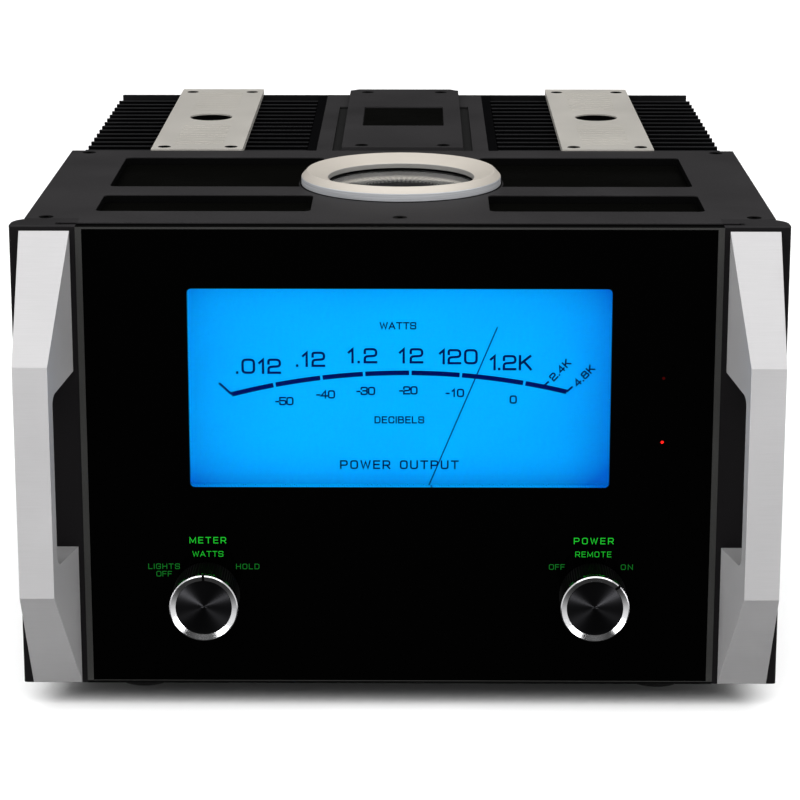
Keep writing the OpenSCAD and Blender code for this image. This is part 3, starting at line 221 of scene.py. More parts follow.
class Shader(Nodes):
    """Node tree of one material."""

    def __init__(self, name: str) -> None:
        """Start a material.

        Args:
            name: Name of the material.
        """
        self.material = bpy.data.materials.new(name)
        self.material.use_nodes = True
        super().__init__(self.material.node_tree)
        self.surface = self.tree.nodes["Principled BSDF"]

    def vector(self, operation: str, first: Any, second: Any, output: str = "Vector") -> Socket:
        """Return one output of a Vector Math node's operation on two vectors or links."""
        return self.node("ShaderNodeVectorMath", {0: first, 1: second}, operation=operation).outputs[output]

    def place(self) -> Socket:
        """Return the place on the piece, in metres."""
        return self.coordinates.outputs["Object"]

    def axis_place(self, axis: Axis) -> Socket:
        """Return one coordinate of the place on the piece, in metres."""
        return self.node("ShaderNodeSeparateXYZ", {0: self.place()}).outputs[axis.value]

    def within(self, limit: Limit) -> Socket:
        """Return 1 inside a range of one coordinate and 0 outside it.

        Args:
            limit: Range in the design frame.

        Returns:
            The share's socket.
        """
        place = self.axis_place(limit.axis)
        low = spot(*(limit.low,) * 3)[limit.axis.value]
        high = spot(*(limit.high,) * 3)[limit.axis.value]
        above = self.span(place, 0.0, 1.0, low - EDGE_FADE, low + EDGE_FADE)
        below = self.span(place, 1.0, 0.0, high - EDGE_FADE, high + EDGE_FADE)
        return self.math("MULTIPLY", above, below)

    def inside(self, limits: Sequence[Limit]) -> Socket:
        """Return 1 inside every one of a few ranges and 0 elsewhere.

        Args:
            limits: Ranges in the design frame.

        Returns:
            The share's socket.
        """
        share = self.within(limits[0])
        for limit in limits[1:]:
            share = self.math("MULTIPLY", share, self.within(limit))
        return share

    def from_axis(self, centre: Point) -> Socket:
        """Return the level offset in metres from an upright axis at a design x and y."""
        offset = self.vector("SUBTRACT", self.place(), tuple(spot(*centre, 0.0)))
        return self.vector("MULTIPLY", offset, Axis.Z.across)

    def axis_distance(self, centre: Point) -> Socket:
        """Return the distance in metres from an upright axis at a design x and y."""
        return self.vector("LENGTH", self.from_axis(centre), (0, 0, 0), "Value")

    def beyond(self, value: Socket, size: float) -> Socket:
        """Return 1 where a distance in metres is over a size in millimetres, and 0 where under."""
        return self.span(value, 0.0, 1.0, size * MM - EDGE_FADE, size * MM + EDGE_FADE)

    def centred(self) -> Socket:
        """Return the offset from the middle of the piece, as shares of its sizes."""
        return self.vector("SUBTRACT", self.coordinates.outputs["Generated"], (0.5, 0.5, 0.5))

    def radius(self, axis: Axis) -> Socket:
        """Return the distance from an axis through the piece's middle, as a share of its width."""
        offset = self.vector("MULTIPLY", self.centred(), axis.across)
        return self.vector("LENGTH", offset, (0, 0, 0), "Value")

    def noise(self, size: float, detail: float = 2.0, stretch: Sequence[float] = (1, 1, 1)) -> Socket:
        """Return soft noise.

        Args:
            size: Size of the noise's features in millimetres.
            detail: Number of finer layers.
            stretch: How far the features are drawn out along each axis.

        Returns:
            The noise's socket, around 0.5.
        """
        scale = tuple(1 / (size * MM * s) for s in stretch)
        scaled = self.vector("MULTIPLY", self.place(), scale)
        return self.node("ShaderNodeTexNoise", {"Vector": scaled, "Scale": 1.0, "Detail": detail}).outputs[0]

    def span(self, value: Socket, low: float, high: float, start: float = 0.3, end: float = 0.7) -> Socket:
        """Spread a value that runs from start to end over a range from low to high."""
        return self.node("ShaderNodeMapRange", {0: value, 1: start, 2: end, 3: low, 4: high}).outputs[0]

    def tint(self, share: Socket, first: Any, second: Any) -> Socket:
        """Mix two colours or links by the share of the second."""
        inputs = {0: share, 6: first, 7: second}
        return self.node("ShaderNodeMix", inputs, data_type="RGBA").outputs[2]

    def mottled(self, noise: Socket, colour: Colour, dark: float, light: float) -> Socket:
        """Vary a colour with noise, from a darker to a lighter shade of it."""
        return self.tint(self.span(noise, 0.0, 1.0), shade(colour, dark), shade(colour, light))

    def around(self, noise: Socket, value: float, share: float) -> Socket:
        """Vary a number with noise, by a share of it either way."""
        return self.span(noise, value * (1 - share), value * (1 + share))

    def bump(self, height: Socket, depth: float, strength: float = 1.0) -> Socket:
        """Turn a height of 0 to 1 into a normal, with the relief's depth in millimetres."""
        inputs = {"Height": height, "Distance": depth * MM, "Strength": strength}
        return self.node("ShaderNodeBump", inputs).outputs[0]

    def set(self, **values: Any) -> None:
        """Set the surface's sockets by name, with _ for each space."""
        for key, value in values.items():
            self.feed(self.surface.inputs[key.replace("_", " ")], value)


# Patterns of the finishes: patches, grains and wipes in millimetres, lengths as multiples of the grain
COAT_PATCH = 60.0
METAL_PATCH = 45.0
BLAST_GRAIN = 0.7
BRUSH_GRAIN = 0.5
BRUSH_LENGTH = 40.0
WALL_LENGTH = 90.0
POLISH_GRAIN = 25.0
PRINT_GRAIN = 1.5
WIPE_SIZE = 90.0
WIPE_STRETCH = (1.0, 1.0, 0.4)
TURNED_LINES = 260.0
FINE_DETAIL = 3.0
WIPE_DETAIL = 4.0

# How far the finishes vary, as shares of their tone or roughness
COAT_SHEEN = 0.1
METAL_SHEEN = 0.12
METAL_SHADES = (0.93, 1.05)
WALL_SHADES = (0.8, 1.2)
PRINT_SHADES = (0.8, 1.0)
WIPE_SHADE = 0.9
WIPE_SHEEN = (0.6, 1.6)
MARK_STRENGTH = 0.6
DIAL_UNLIT = 0.3
LEGEND_UNLIT = 0.2


@dataclass(frozen=True)
class Finish:
    """Surface finish with a name of its own."""

    name: str

    def material(self) -> bpy.types.Material:
        """Find the finish's material, or make it on first use.

        Returns:
            The material.
        """
        found = bpy.data.materials.get(self.name)
        if found is None:
            shader = Shader(self.name)
            self.paint(shader)
            found = shader.material
        return found

    def paint(self, shader: Shader) -> None:
        """Lay the finish's nodes in a material's node tree."""
        raise NotImplementedError


@dataclass(frozen=True)
class Coat(Finish):
    """Paint, anodising, moulded plastic or rubber with a fine grain."""

    colour: Colour
    roughness: float = 0.5
    grain: float = 0.8
    depth: float = 0.03
    speckle: float = 0.25
    gloss: float = 0.5

    def paint(self, shader: Shader) -> None:
        """Lay speckled colour, uneven sheen and a fine relief.

        Args:
            shader: Node tree to fill.
        """
        fine = shader.noise(self.grain, FINE_DETAIL)
        broad = shader.noise(COAT_PATCH)
        shader.set(
            Base_Color=self.tone(shader, shader.mean(fine, broad)),
            Roughness=shader.around(broad, self.roughness, COAT_SHEEN),
            Specular_IOR_Level=self.gloss,
            Normal=shader.bump(fine, self.depth),
        )

    def tone(self, shader: Shader, speckles: Socket) -> Socket:
        """Return the speckled colour, from noise around 0.5."""
        return shader.mottled(speckles, self.colour, 1 - self.speckle, 1 + self.speckle)


@dataclass(frozen=True)
class ZonedCoat(Coat):
    """Coat that keeps its colour inside a zone and is darker outside it and in a band, mostly as painted
    shade.
    """

    outside: Colour = (0.0, 0.0, 0.0)
    zone: tuple[Limit, ...] = ()
    band: tuple[Limit, ...] = ()

    def tone(self, shader: Shader, speckles: Socket) -> Socket:
        """Return the speckled colour, or the darker one outside the zone and in the band.

        Args:
            shader: Node tree to fill.
            speckles: Noise around 0.5.

        Returns:
            The colour's socket.
        """
        inside = shader.inside(self.zone)
        if self.band:
            inside = shader.math("SUBTRACT", inside, shader.inside(self.zone + self.band))
        return shader.tint(inside, self.outside, super().tone(shader, speckles))


@dataclass(frozen=True)
class Metal(Finish):
    """Bare or clear-anodised metal, worked in one of several ways."""

    colour: Colour
    roughness: float = 0.35
    grain: Grain = Grain.BLASTED
    axis: Axis = Axis.Z
    depth: float = 0.02
    bare: float = 1.0

    def relief(self, shader: Shader) -> Socket:
        """Return the tool marks of the way that the metal was worked.

        Args:
            shader: Node tree to fill.

        Returns:
            The marks' height.
        """
        if self.grain is Grain.TURNED:
            line = shader.math("MULTIPLY", shader.radius(self.axis), TURNED_LINES)
            inputs = {"W": line, "Scale": 1.0, "Detail": FINE_DETAIL}
            return shader.node("ShaderNodeTexNoise", inputs, noise_dimensions="1D").outputs[0]
        if self.grain is Grain.BRUSHED:
            stretch = tuple(BRUSH_LENGTH if i == self.axis.value else 1.0 for i in range(3))
            return shader.noise(BRUSH_GRAIN, FINE_DETAIL, stretch)
        if self.grain is Grain.POLISHED:
            return shader.noise(POLISH_GRAIN)
        return shader.noise(BLAST_GRAIN, FINE_DETAIL)

    def paint(self, shader: Shader) -> None:
        """Lay the metal's tone, its uneven sheen and its tool marks.

        Args:
            shader: Node tree to fill.
        """
        marks = self.relief(shader)
        mixed = shader.mean(marks, shader.noise(METAL_PATCH))
        shader.set(
            Base_Color=self.tone(shader, mixed),
            Metallic=self.bare,
            Roughness=shader.around(mixed, self.roughness, METAL_SHEEN),
            Normal=shader.bump(marks, self.depth, MARK_STRENGTH),
        )

    def tone(self, shader: Shader, marks: Socket) -> Socket:
        """Return the metal's slightly uneven colour, from noise around 0.5."""
        return shader.mottled(marks, self.colour, *METAL_SHADES)


@dataclass(frozen=True)
class SpunMetal(Metal):
    """Spun face that shows its lights as fans, on a piece with a darker side."""

    side: Colour = (0.0, 0.0, 0.0)
    side_start: float = 0.45
    side_fade: float = 0.005
    directional: float = 0.9
    sheen_turn: float = 0.25
    lean: float = 0.3

    def paint(self, shader: Shader) -> None:
        """Lay the metal, with a sheen drawn out from the middle and leaning outwards.

        Args:
            shader: Node tree to fill.
        """
        super().paint(shader)
        around = shader.node("ShaderNodeTangent", {}, direction_type="RADIAL", axis=self.axis.name)
        offset = shader.vector("MULTIPLY", shader.centred(), self.axis.across)
        outward = shader.vector("NORMALIZE", offset, (0, 0, 0))
        turned = shader.node("ShaderNodeVectorTransform", {0: outward}, convert_from="OBJECT",
                             convert_to="WORLD").outputs[0]
        leaning = shader.vector("MULTIPLY", turned, (self.lean,) * 3)
        plain = shader.node("ShaderNodeNewGeometry", {}).outputs["Normal"]
        normal = shader.vector("NORMALIZE", shader.vector("ADD", plain, leaning), (0, 0, 0))
        shader.set(Anisotropic=self.directional, Anisotropic_Rotation=self.sheen_turn,
                   Tangent=around.outputs[0], Normal=normal)

    def tone(self, shader: Shader, marks: Socket) -> Socket:
        """Return the face's colour, or the side's near the rim.

        Args:
            shader: Node tree to fill.
            marks: Noise around 0.5.

        Returns:
            The colour's socket.
        """
        side_end = self.side_start + self.side_fade
        rim = shader.span(shader.radius(self.axis), 0.0, 1.0, self.side_start, side_end)
        return shader.tint(rim, super().tone(shader, marks), self.side)


@dataclass(frozen=True)
class RingMetal(Metal):
    """Turned ring whose upright walls get painted tones of their own, as painted reflection and painted shade.
    """

    wall_painted_light: Colour = (0.5, 0.5, 0.5)
    inner_wall_painted_shade: Colour = (0.5, 0.5, 0.5)
    wall_bare: float = 0.5
    centre: Point = (0.0, 0.0)
    inner: float = 0.0
    outer: float = FAR

    def paint(self, shader: Shader) -> None:
        """Lay the ring, with barer metal on its walls."""
        super().paint(shader)
        shader.set(Metallic=shader.span(self.face(shader), self.wall_bare, self.bare, 0.0, 1.0))

    def face(self, shader: Shader) -> Socket:
        """Return 1 between the walls and 0 on them.

        Args:
            shader: Node tree to fill.

        Returns:
            The share's socket.
        """
        distance = shader.axis_distance(self.centre)
        outside = shader.beyond(distance, self.outer)
        return shader.math("SUBTRACT", shader.beyond(distance, self.inner), outside)

    def tone(self, shader: Shader, marks: Socket) -> Socket:
        """Return the ring's colour, with painted reflection and painted shade on its walls.

        Args:
            shader: Node tree to fill.
            marks: Noise around 0.5.

        Returns:
            The colour's socket.
        """
        # The walls' colours are painted reflection outside and painted shade inside
        lines = shader.noise(BRUSH_GRAIN, FINE_DETAIL, (WALL_LENGTH, WALL_LENGTH, 1.0))
        outer_wall = shader.mottled(lines, self.wall_painted_light, *WALL_SHADES)
        outward = shader.beyond(shader.axis_distance(self.centre), self.inner)
        wall_painted_light = shader.tint(outward, self.inner_wall_painted_shade, outer_wall)
        return shader.tint(self.face(shader), wall_painted_light, super().tone(shader, marks))


@dataclass(frozen=True)
class TickedMetal(RingMetal):
    """Turned well whose level step has light ticks round it."""

    tick: Colour = (1.0, 1.0, 1.0)
    ticks: int = 60
    tick_start: float = 0.4
    tick_end: float = 0.6

    def tone(self, shader: Shader, marks: Socket) -> Socket:
        """Return the well's colour with ticks on its step.

        Args:
            shader: Node tree to fill.
            marks: Noise around 0.5.

        Returns:
            The colour's socket.
        """
        split = shader.node("ShaderNodeSeparateXYZ", {0: shader.from_axis(self.centre)})
        angle = shader.math("ARCTAN2", split.outputs[1], split.outputs[0])
        turn = shader.math("PINGPONG", shader.math("MULTIPLY", angle, self.ticks / math.pi), 1.0)
        step = shader.math("SUBTRACT", 1.0, shader.beyond(shader.axis_distance(self.centre), self.outer))
        drawn = shader.span(turn, 0.0, 1.0, self.tick_start, self.tick_end)
        light = shader.math("MULTIPLY", drawn, step)
        return shader.tint(light, super().tone(shader, marks), self.tick)


@dataclass(frozen=True)
class Glass(Finish):
    """Clear glass, or glass with a dark coat behind it."""

    colour: Colour = (1.0, 1.0, 1.0)
    clear: float = 1.0
    index: float = 1.45
    gloss: float = 0.5
    roughness: float = 0.02

    def paint(self, shader: Shader) -> None:
        """Lay the glass with faint wipe marks in its sheen.

        Args:
            shader: Node tree to fill.
        """
        wipes = shader.noise(WIPE_SIZE, WIPE_DETAIL, WIPE_STRETCH)
        smooth, smeared = (self.roughness * share for share in WIPE_SHEEN)
        shader.set(
            Base_Color=shader.tint(wipes, shade(self.colour, WIPE_SHADE), self.colour),
            Roughness=shader.span(wipes, smooth, smeared),
            Transmission_Weight=self.clear,
            IOR=self.index,
            Specular_IOR_Level=self.gloss,
        )


@dataclass(frozen=True)
class LitDial(Finish):
    """Dial that lamps light from behind, brightest in the middle."""

    middle: Colour
    edge: Colour
    centre: Point
    half_w: float
    half_h: float
    steepness: float = 5.0
    falloff: float = 0.85
    patch: float = 70.0
    uneven: float = 0.05

    def paint(self, shader: Shader) -> None:
        """Lay a glow that falls off towards the window's sides.

        Args:
            shader: Node tree to fill.
        """
        centre = spot(self.centre[0], 0, self.centre[1])
        side = shader.math("SUBTRACT", shader.axis_place(Axis.X), centre.x)
        rise = shader.math("SUBTRACT", shader.axis_place(Axis.Z), centre.z)
        across = shader.math("ABSOLUTE", shader.math("DIVIDE", side, self.half_w * MM))
        upward = shader.math("ABSOLUTE", shader.math("DIVIDE", rise, self.half_h * MM))
        powers = [shader.math("POWER", offset, self.steepness) for offset in (across, upward)]
        fall = shader.math("MULTIPLY", shader.math("ADD", *powers), self.falloff)
        share = shader.math("ADD", fall, shader.span(shader.noise(self.patch), -self.uneven, self.uneven))
        limited = shader.node("ShaderNodeClamp", {0: share}).outputs[0]
        glow = shader.tint(limited, self.middle, self.edge)
        shader.set(Base_Color=shade(self.edge, DIAL_UNLIT), Roughness=0.6, Specular_IOR_Level=0.0,
                   Emission_Color=glow, Emission_Strength=1.0)


@dataclass(frozen=True)
class Glow(Finish):
    """Lamp lens or back-lit legend, also used for the dim painted glow of an unlit lamp."""

    colour: Colour
    strength: float = 1.0

    def paint(self, shader: Shader) -> None:
        """Lay a glow with a slightly uneven print.

        Args:
            shader: Node tree to fill.
        """
        shader.set(
            Base_Color=shade(self.colour, LEGEND_UNLIT),
            Roughness=0.5,
            Specular_IOR_Level=0.0,
            Emission_Color=shader.mottled(shader.noise(PRINT_GRAIN), self.colour, *PRINT_SHADES),
            Emission_Strength=self.strength,
        )


@dataclass(frozen=True)
class Laminate(Finish):
    """Circuit board with copper tracks under a solder mask."""

    colour: Colour
    track: Colour
    density: tuple[float, float, float] = (220.0, 90.0, 150.0)
    track_start: float = 0.35
    track_end: float = 0.42
    mask_roughness: float = 0.4
    track_roughness: float = 0.28
    relief: float = 0.05

    def paint(self, shader: Shader) -> None:
        """Lay a pattern of tracks under a glossy mask.

        Args:
            shader: Node tree to fill.
        """
        scaled = shader.vector("MULTIPLY", shader.place(), self.density)
        inputs = {"Vector": scaled, "Scale": 1.0}
        cells = shader.node("ShaderNodeTexVoronoi", inputs, distance="MANHATTAN").outputs["Distance"]
        lines = shader.span(cells, 0.0, 1.0, self.track_start, self.track_end)
        shader.set(
            Base_Color=shader.tint(lines, self.colour, self.track),
            Roughness=shader.span(lines, self.mask_roughness, self.track_roughness, 0.0, 1.0),
            Normal=shader.bump(lines, self.relief),
        )


# Heights and edges that the finishes follow, in the design frame
# A skin is how far the colour of a top face reaches down; below it the coats are painted darker, as painted
# shade
COVER_TOP = 275.6
COVER_SKIN = 0.6
CHEEK_SKIN = 0.5
FIN_TOP = 272.4
DECK_SKIN = 0.5
FIN_SKIN = 0.4
FIN_ROOT = 63.5
GAP_END = 196.5
GAP_DEPTH = (5.0, 10.0)
TRIM_LOW = 1.45
TRIM_FACE = 0.6
TRAY_HALF = 136.5
TRAY_HEIGHTS = (43.1, 254.2)
RING_Y = 132.0
RING_INNER = 44.9
RING_OUTER = 61.0
WELL_STEP = 44.0

BLACK_COAT = Coat("black_powder_coat", screen(20, 20, 21), 0.5, 0.9, 0.04, 0.25, 0.1)
# Near-black for lacquered parts, kept this dark on the sub panel in the gap behind the trim as painted shade,
# and used as painted shade for the black rings by the round window and the tubes in the caps' holes
BLACK_LACQUER_AND_SHADE = Coat("black_lacquer_and_painted_shade", screen(6, 6, 6), 0.6, 0.9, 0.02, 0.2, 0.03)
# Below its top skin the cover is painted near-black, as painted shade on its edges and on the sides of the
# panes' recesses
COVER_COAT = ZonedCoat("dark_grey_powder_coat", screen(48, 47, 48), 0.55, 0.9, 0.04, 0.2, 0.06,
                       screen(7, 7, 7), (Limit(Axis.Z, COVER_TOP - COVER_SKIN),))
# Below its top skin the deck and rear cover are painted darker, as painted shade in their channels and on
# their edges
DECK_COAT = ZonedCoat("dark_grey_deck_coat", screen(47, 46, 47), 0.55, 0.9, 0.04, 0.2, 0.06,
                      screen(32, 32, 32), (Limit(Axis.Z, FIN_TOP - DECK_SKIN),))
# The cheeks' lighter top and darker sides are painted light and shade on one black anodising, and the band
# over the gap behind the trim is painted shade
CHEEK_BLACK = ZonedCoat("black_cheek_anodising", screen(44, 43, 44), 0.5, 0.7, 0.02, 0.2, 0.03,
                        screen(19, 18, 19), (Limit(Axis.Z, COVER_TOP - CHEEK_SKIN),),
                        (Limit(Axis.X, -GAP_END, GAP_END), Limit(Axis.Y, *GAP_DEPTH)))
# The trim is painted near-black on its bottom strip and on its top behind the front face, as painted shade in
# the gaps below and above it
TRIM_GREY = ZonedCoat("dark_trim_anodising", screen(50, 50, 49), 0.4, 0.6, 0.01, 0.15, 0.01, screen(7, 7, 7),
                      (Limit(Axis.Z, TRIM_LOW), Limit(Axis.Y, high=TRIM_FACE)))
# The fins keep the grey only on their top edges away from the middle, a painted highlight, and below the top
# skin and near the middle they are painted near-black, as painted shade
FIN_COATS = {
    side: ZonedCoat(f"black_fin_anodising_{side.word}", screen(34, 34, 35), 0.5, 0.7, 0.02, 0.2, 0.02,
                    screen(4, 4, 5), (Limit(Axis.Z, FIN_TOP - FIN_SKIN), side.beyond(FIN_ROOT)))
    for side in Side
}
MOULDED_BLACK = Coat("black_moulded_plastic", screen(30, 30, 31), 0.55, 0.6, 0.03)
BADGE_BLACK = Coat("black_disc_lacquer", screen(6, 6, 6), 0.25, 1.5, 0.01, 0.2, 0.05)
RUBBER = Coat("black_foot_rubber", screen(28, 28, 28), 0.8, 0.5, 0.05, 0.2, 0.3)
TRAY_WHITE = ZonedCoat("white_light_box_paint", screen(232, 232, 228), 0.7, 0.8, 0.03, 0.04, 0.05,
                       screen(8, 8, 8), (Limit(Axis.X, -TRAY_HALF, TRAY_HALF), Limit(Axis.Z, *TRAY_HEIGHTS)))
SLIDER_WHITE = Coat("white_slider_plastic", screen(222, 221, 216), 0.45, 0.5, 0.02, 0.05)
LABEL_WHITE = Coat("white_label_ink", screen(214, 214, 210), 0.7, 0.5, 0.004, 0.06, 0.2)
CAPACITOR_SLEEVE = Coat("blue_capacitor_sleeve", screen(38, 62, 130), 0.3, 3.0, 0.05, 0.12)
CAN_BLACK = Coat("black_transformer_paint", screen(30, 30, 32), 0.35, 4.0, 0.15)
# The needle is black; its navy colour is painted light from the lit dial behind it
NEEDLE_DIAL_LIT = Coat("black_needle_painted_dial_light", screen(0, 5, 96), 0.6, 0.4, 0.005, 0.2, 0.0)
INK = Coat("dark_dial_ink", screen(0, 5, 84), 0.9, 0.6, 0.004, 0.3, 0.0)
FLOOR_PAPER = Coat("white_floor_paper", screen(246, 246, 246), 0.9, 2.0, 0.02, 0.01, 0.0)
HANDLE_SILVER = Metal("satin_handle_aluminium", screen(186, 185, 186), 0.42, Grain.BRUSHED, Axis.X, 0.005,
                      bare=0.64)
# The ring's walls get a cooler, brighter painted reflection outside and a darker painted shade inside
RING_SILVER = RingMetal("warm_turned_aluminium", screen(203, 196, 186), 0.5, Grain.TURNED, depth=0.015,
                        bare=0.2, wall_painted_light=screen(224, 226, 230), inner_wall_painted_shade=screen(166, 164, 161),
                        centre=(0.0, RING_Y), inner=RING_INNER, outer=RING_OUTER)
# The well's darker walls are painted shade
WELL_SILVER = TickedMetal("turned_well_aluminium", screen(150, 148, 144), 0.4, Grain.TURNED, depth=0.02,
                          bare=0.3, wall_painted_light=screen(114, 113, 113), wall_bare=0.3, centre=(0.0, RING_Y),
                          outer=WELL_STEP, tick=screen(225, 222, 214), ticks=72)
CAP_SILVER = Metal("satin_cap_aluminium", screen(220, 216, 208), 0.45, bare=0.45)
KNOB_BLACK = SpunMetal("spun_black_aluminium", screen(14, 14, 15), 0.42, Grain.TURNED, Axis.Y, 0.01,
                       side=screen(9, 9, 9))
CHROME = Metal("bright_ring_chrome", screen(244, 244, 246), 0.15, Grain.POLISHED, Axis.Y, 0.0)
STEEL = Metal("zinc_plated_steel", screen(186, 186, 190), 0.35, Grain.BRUSHED, Axis.X)
GOLD = Metal("gold_plating", screen(232, 190, 96), 0.16, Grain.POLISHED, Axis.Y, 0.02)
FIELD_GLASS = Glass("black_backed_glass", screen(1, 1, 1), 0.0, 1.45, 0.005, 0.05)
CLEAR_PANE = Glass("clear_meter_pane", (1.0, 1.0, 1.0), 1.0, 1.06, 0.5, 0.0)
ROUND_PANE = Glass("clear_round_glass", (0.94, 0.96, 0.97), 1.0, 1.4, 0.5, 0.0)
DARK_PANE = Glass("dark_cover_pane", screen(7, 7, 6), 0.0, 1.45, 0.005, 0.3)
RED_LENS = Glass("red_lamp_lens", screen(190, 12, 10), 0.4, 1.5, 0.5, 0.1)
BOARD = Laminate("green_circuit_board", screen(22, 84, 50), screen(52, 128, 74))
LEGEND_GREEN = Glow("green_legend", screen(36, 205, 52), 0.8)
LEGEND_DIM = Glow("dim_green_legend", screen(24, 122, 40), 0.75)
LAMP_ON = Glow("lit_red_lamp", screen(255, 30, 24), 1.8)
# The unlit lamp's dim red glow is painted light
UNLIT_LAMP_GLOW = Glow("unlit_red_lamp_painted_glow", screen(70, 6, 6), 0.5)

# Rounding of edges: a gap in millimetres, two angles in degrees and a count
WELD_GAP = 0.002
FLAT_ANGLE = 0.4
SHARP_ANGLE = 28.0
ROUND_STEPS = 2


def soften(piece: Piece, width: float) -> None:
    """Round a piece's sharp edges with modifiers.

    Args:
        piece: Piece to round.
        width: Width of the rounding in millimetres.
    """
    weld = piece.modifiers.new("weld", "WELD")
    weld.merge_threshold = WELD_GAP * MM
    flatten = piece.modifiers.new("flatten", "DECIMATE")
    flatten.decimate_type = "DISSOLVE"
    flatten.angle_limit = math.radians(FLAT_ANGLE)
    edge = piece.modifiers.new("edge", "BEVEL")
    edge.width = width * MM
    edge.segments = ROUND_STEPS
    edge.limit_method = "ANGLE"
    edge.angle_limit = math.radians(SHARP_ANGLE)
    edge.miter_outer = "MITER_ARC"
    piece.modifiers.new("normals", "WEIGHTED_NORMAL")


def dress(finish: Finish, *nodes: str, edge: float = 0.0) -> list[Piece]:
    """Give nodes of the frame their finish.

    Args:
        finish: Finish for the nodes.
        nodes: Names of the nodes.
        edge: Width of the rounding of their edges in millimetres, or none.

    Returns:
        The nodes' objects.
    """
    dressed = []
    for name in nodes:
        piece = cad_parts[name]
        if not piece.material_slots:
            piece.data.materials.append(None)
        for slot in piece.material_slots:
            slot.link = "OBJECT"
            slot.material = finish.material()
        if edge > 0:
            soften(piece, edge)
        dressed.append(piece)
    return dressed


def put(name: str, data: bpy.types.ID) -> Piece:
    """Put a mesh, a light or a camera into the scene.

    Args:
        name: Name of the object.
        data: What the object shows.

    Returns:
        The new object.
    """
    made = bpy.data.objects.new(name, data)
    bpy.context.scene.collection.objects.link(made)
    return made


def mesh_object(name: str, mesh: bmesh.types.BMesh, finish: Finish) -> Piece:
    """Turn a finished mesh into an object.

    Args:
        name: Name of the object.
        mesh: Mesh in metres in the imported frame, freed here.
        finish: Finish for the object.

    Returns:
        The new object.
    """
    data = bpy.data.meshes.new(name)
    mesh.to_mesh(data)
    mesh.free()
    data.materials.append(finish.material())
    return put(name, data)


def make_piece(name: str, mesh: bmesh.types.BMesh, finish: Finish, body: str) -> Piece:
    """Turn a finished mesh into a piece that rides on a body.

    Args:
        name: Name of the piece.
        mesh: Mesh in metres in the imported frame, freed here.
        finish: Finish for the piece.
        body: Body that carries the piece.

    Returns:
        The new piece.
    """
    bmesh.ops.recalc_face_normals(mesh, faces=mesh.faces)
    piece = mesh_object(name, mesh, finish)
    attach(piece, body)
    return piece


def arc_points(centre: Point, radius: float, start: float, end: float, steps: int) -> list[Point]:
    """Return points along an arc.

    Args:
        centre: Middle of the arc.
        radius: Radius of the arc.
        start: First angle in degrees, anticlockwise from the right.
        end: Last angle in degrees.
        steps: Number of steps between the two.

    Returns:
        The points, one more than the steps.
    """
    turns = [math.radians(start + (end - start) * i / steps) for i in range(steps + 1)]
    return [(centre[0] + radius * math.cos(a), centre[1] + radius * math.sin(a)) for a in turns]


def circle(centre: Point, radius: float, steps: int) -> list[Point]:
    """Return points round a circle.

    Args:
        centre: Middle of the circle.
        radius: Radius of the circle.
        steps: Number of points.

    Returns:
        The points, anticlockwise from the right.
    """
    return arc_points(centre, radius, 0, 360 - 360 / steps, steps - 1)


def rounded_rectangle(low: Point, high: Point, radius: float) -> list[Point]:
    """Return the outline of a rectangle with round corners.

    Args:
        low: Lower left corner.
        high: Upper right corner.
        radius: Radius of the corners.

    Returns:
        The outline's points, anticlockwise.
    """
    corners = [(high[0] - radius, high[1] - radius), (low[0] + radius, high[1] - radius),
               (low[0] + radius, low[1] + radius), (high[0] - radius, low[1] + radius)]
    return [p for i, c in enumerate(corners)
            for p in arc_points(c, radius, 90 * i, 90 * i + 90, CORNER_STEPS)]


def upright_plate(outlines: Sequence[Sequence[Point]], front: float, back: float) -> bmesh.types.BMesh:
    """Build an upright plate with holes.

    Args:
        outlines: The outer outline and then each hole, in x and z.
        front: Front face's y in millimetres.
        back: Back face's y in millimetres.

    Returns:
        The plate's mesh.
    """
    mesh = bmesh.new()
    for outline in outlines:
        corners = [mesh.verts.new(spot(x, front, z)) for x, z in outline]
        for first, second in zip(corners, corners[1:] + corners[:1]):
            mesh.edges.new((first, second))
    bmesh.ops.triangle_fill(mesh, use_beauty=True, edges=mesh.edges[:])
    grown = bmesh.ops.extrude_face_region(mesh, geom=mesh.faces[:])
    moved = [g for g in grown["geom"] if isinstance(g, bmesh.types.BMVert)]
    bmesh.ops.translate(mesh, verts=moved, vec=(0, (back - front) * MM, 0))
    return mesh


def block(low: Sequence[float], high: Sequence[float]) -> bmesh.types.BMesh:
    """Build a rectangular block.

    Args:
        low: Lowest corner in millimetres.
        high: Highest corner in millimetres.

    Returns:
        The block's mesh.
    """
    mesh = bmesh.new()
    made = bmesh.ops.create_cube(mesh, size=1.0)
    first = spot(*low)
    size = spot(*high) - first
    for corner in made["verts"]:
        corner.co = first + Vector([(c + 0.5) * s for c, s in zip(corner.co, size)])
    return mesh


SLEEVE_STEPS = 96


def sleeve(x: float, y: float, inner: float, outer: float, low: float, high: float) -> bmesh.types.BMesh:
    """Build an upright tube.

    Args:
        x: Middle of the tube.
        y: Distance of its middle behind the glass.
        inner: Inner radius in millimetres.
        outer: Outer radius in millimetres.
        low: Height of the lower end.
        high: Height of the upper end.

    Returns:
        The tube's mesh.
    """
    mesh = bmesh.new()
    corners = ((inner, low), (outer, low), (outer, high), (inner, high))
    rings = [[(*place, height) for place in circle((x, y), radius, SLEEVE_STEPS)]
             for radius, height in corners]
    rows = [[mesh.verts.new(spot(*place)) for place in row] for row in zip(*rings)]
    for i, row in enumerate(rows):
        last = rows[i - 1]
        for j in range(4):
            mesh.faces.new((last[j - 1], last[j], row[j], row[j - 1]))
    return mesh


Stroke = tuple[tuple[float, ...], ...]
LETTER_GAP = 0.24
MITRE_LIMIT = 0.45
DOT_STEPS = 24


@dataclass(frozen=True)
class Glyph:
    """Letter drawn with a pen of even width.

    Each stroke is a row of points in shares of the letter's height. A third number rounds that corner, and a
    stroke whose last point is its first is closed.
    """

    width: float
    strokes: tuple[Stroke, ...]


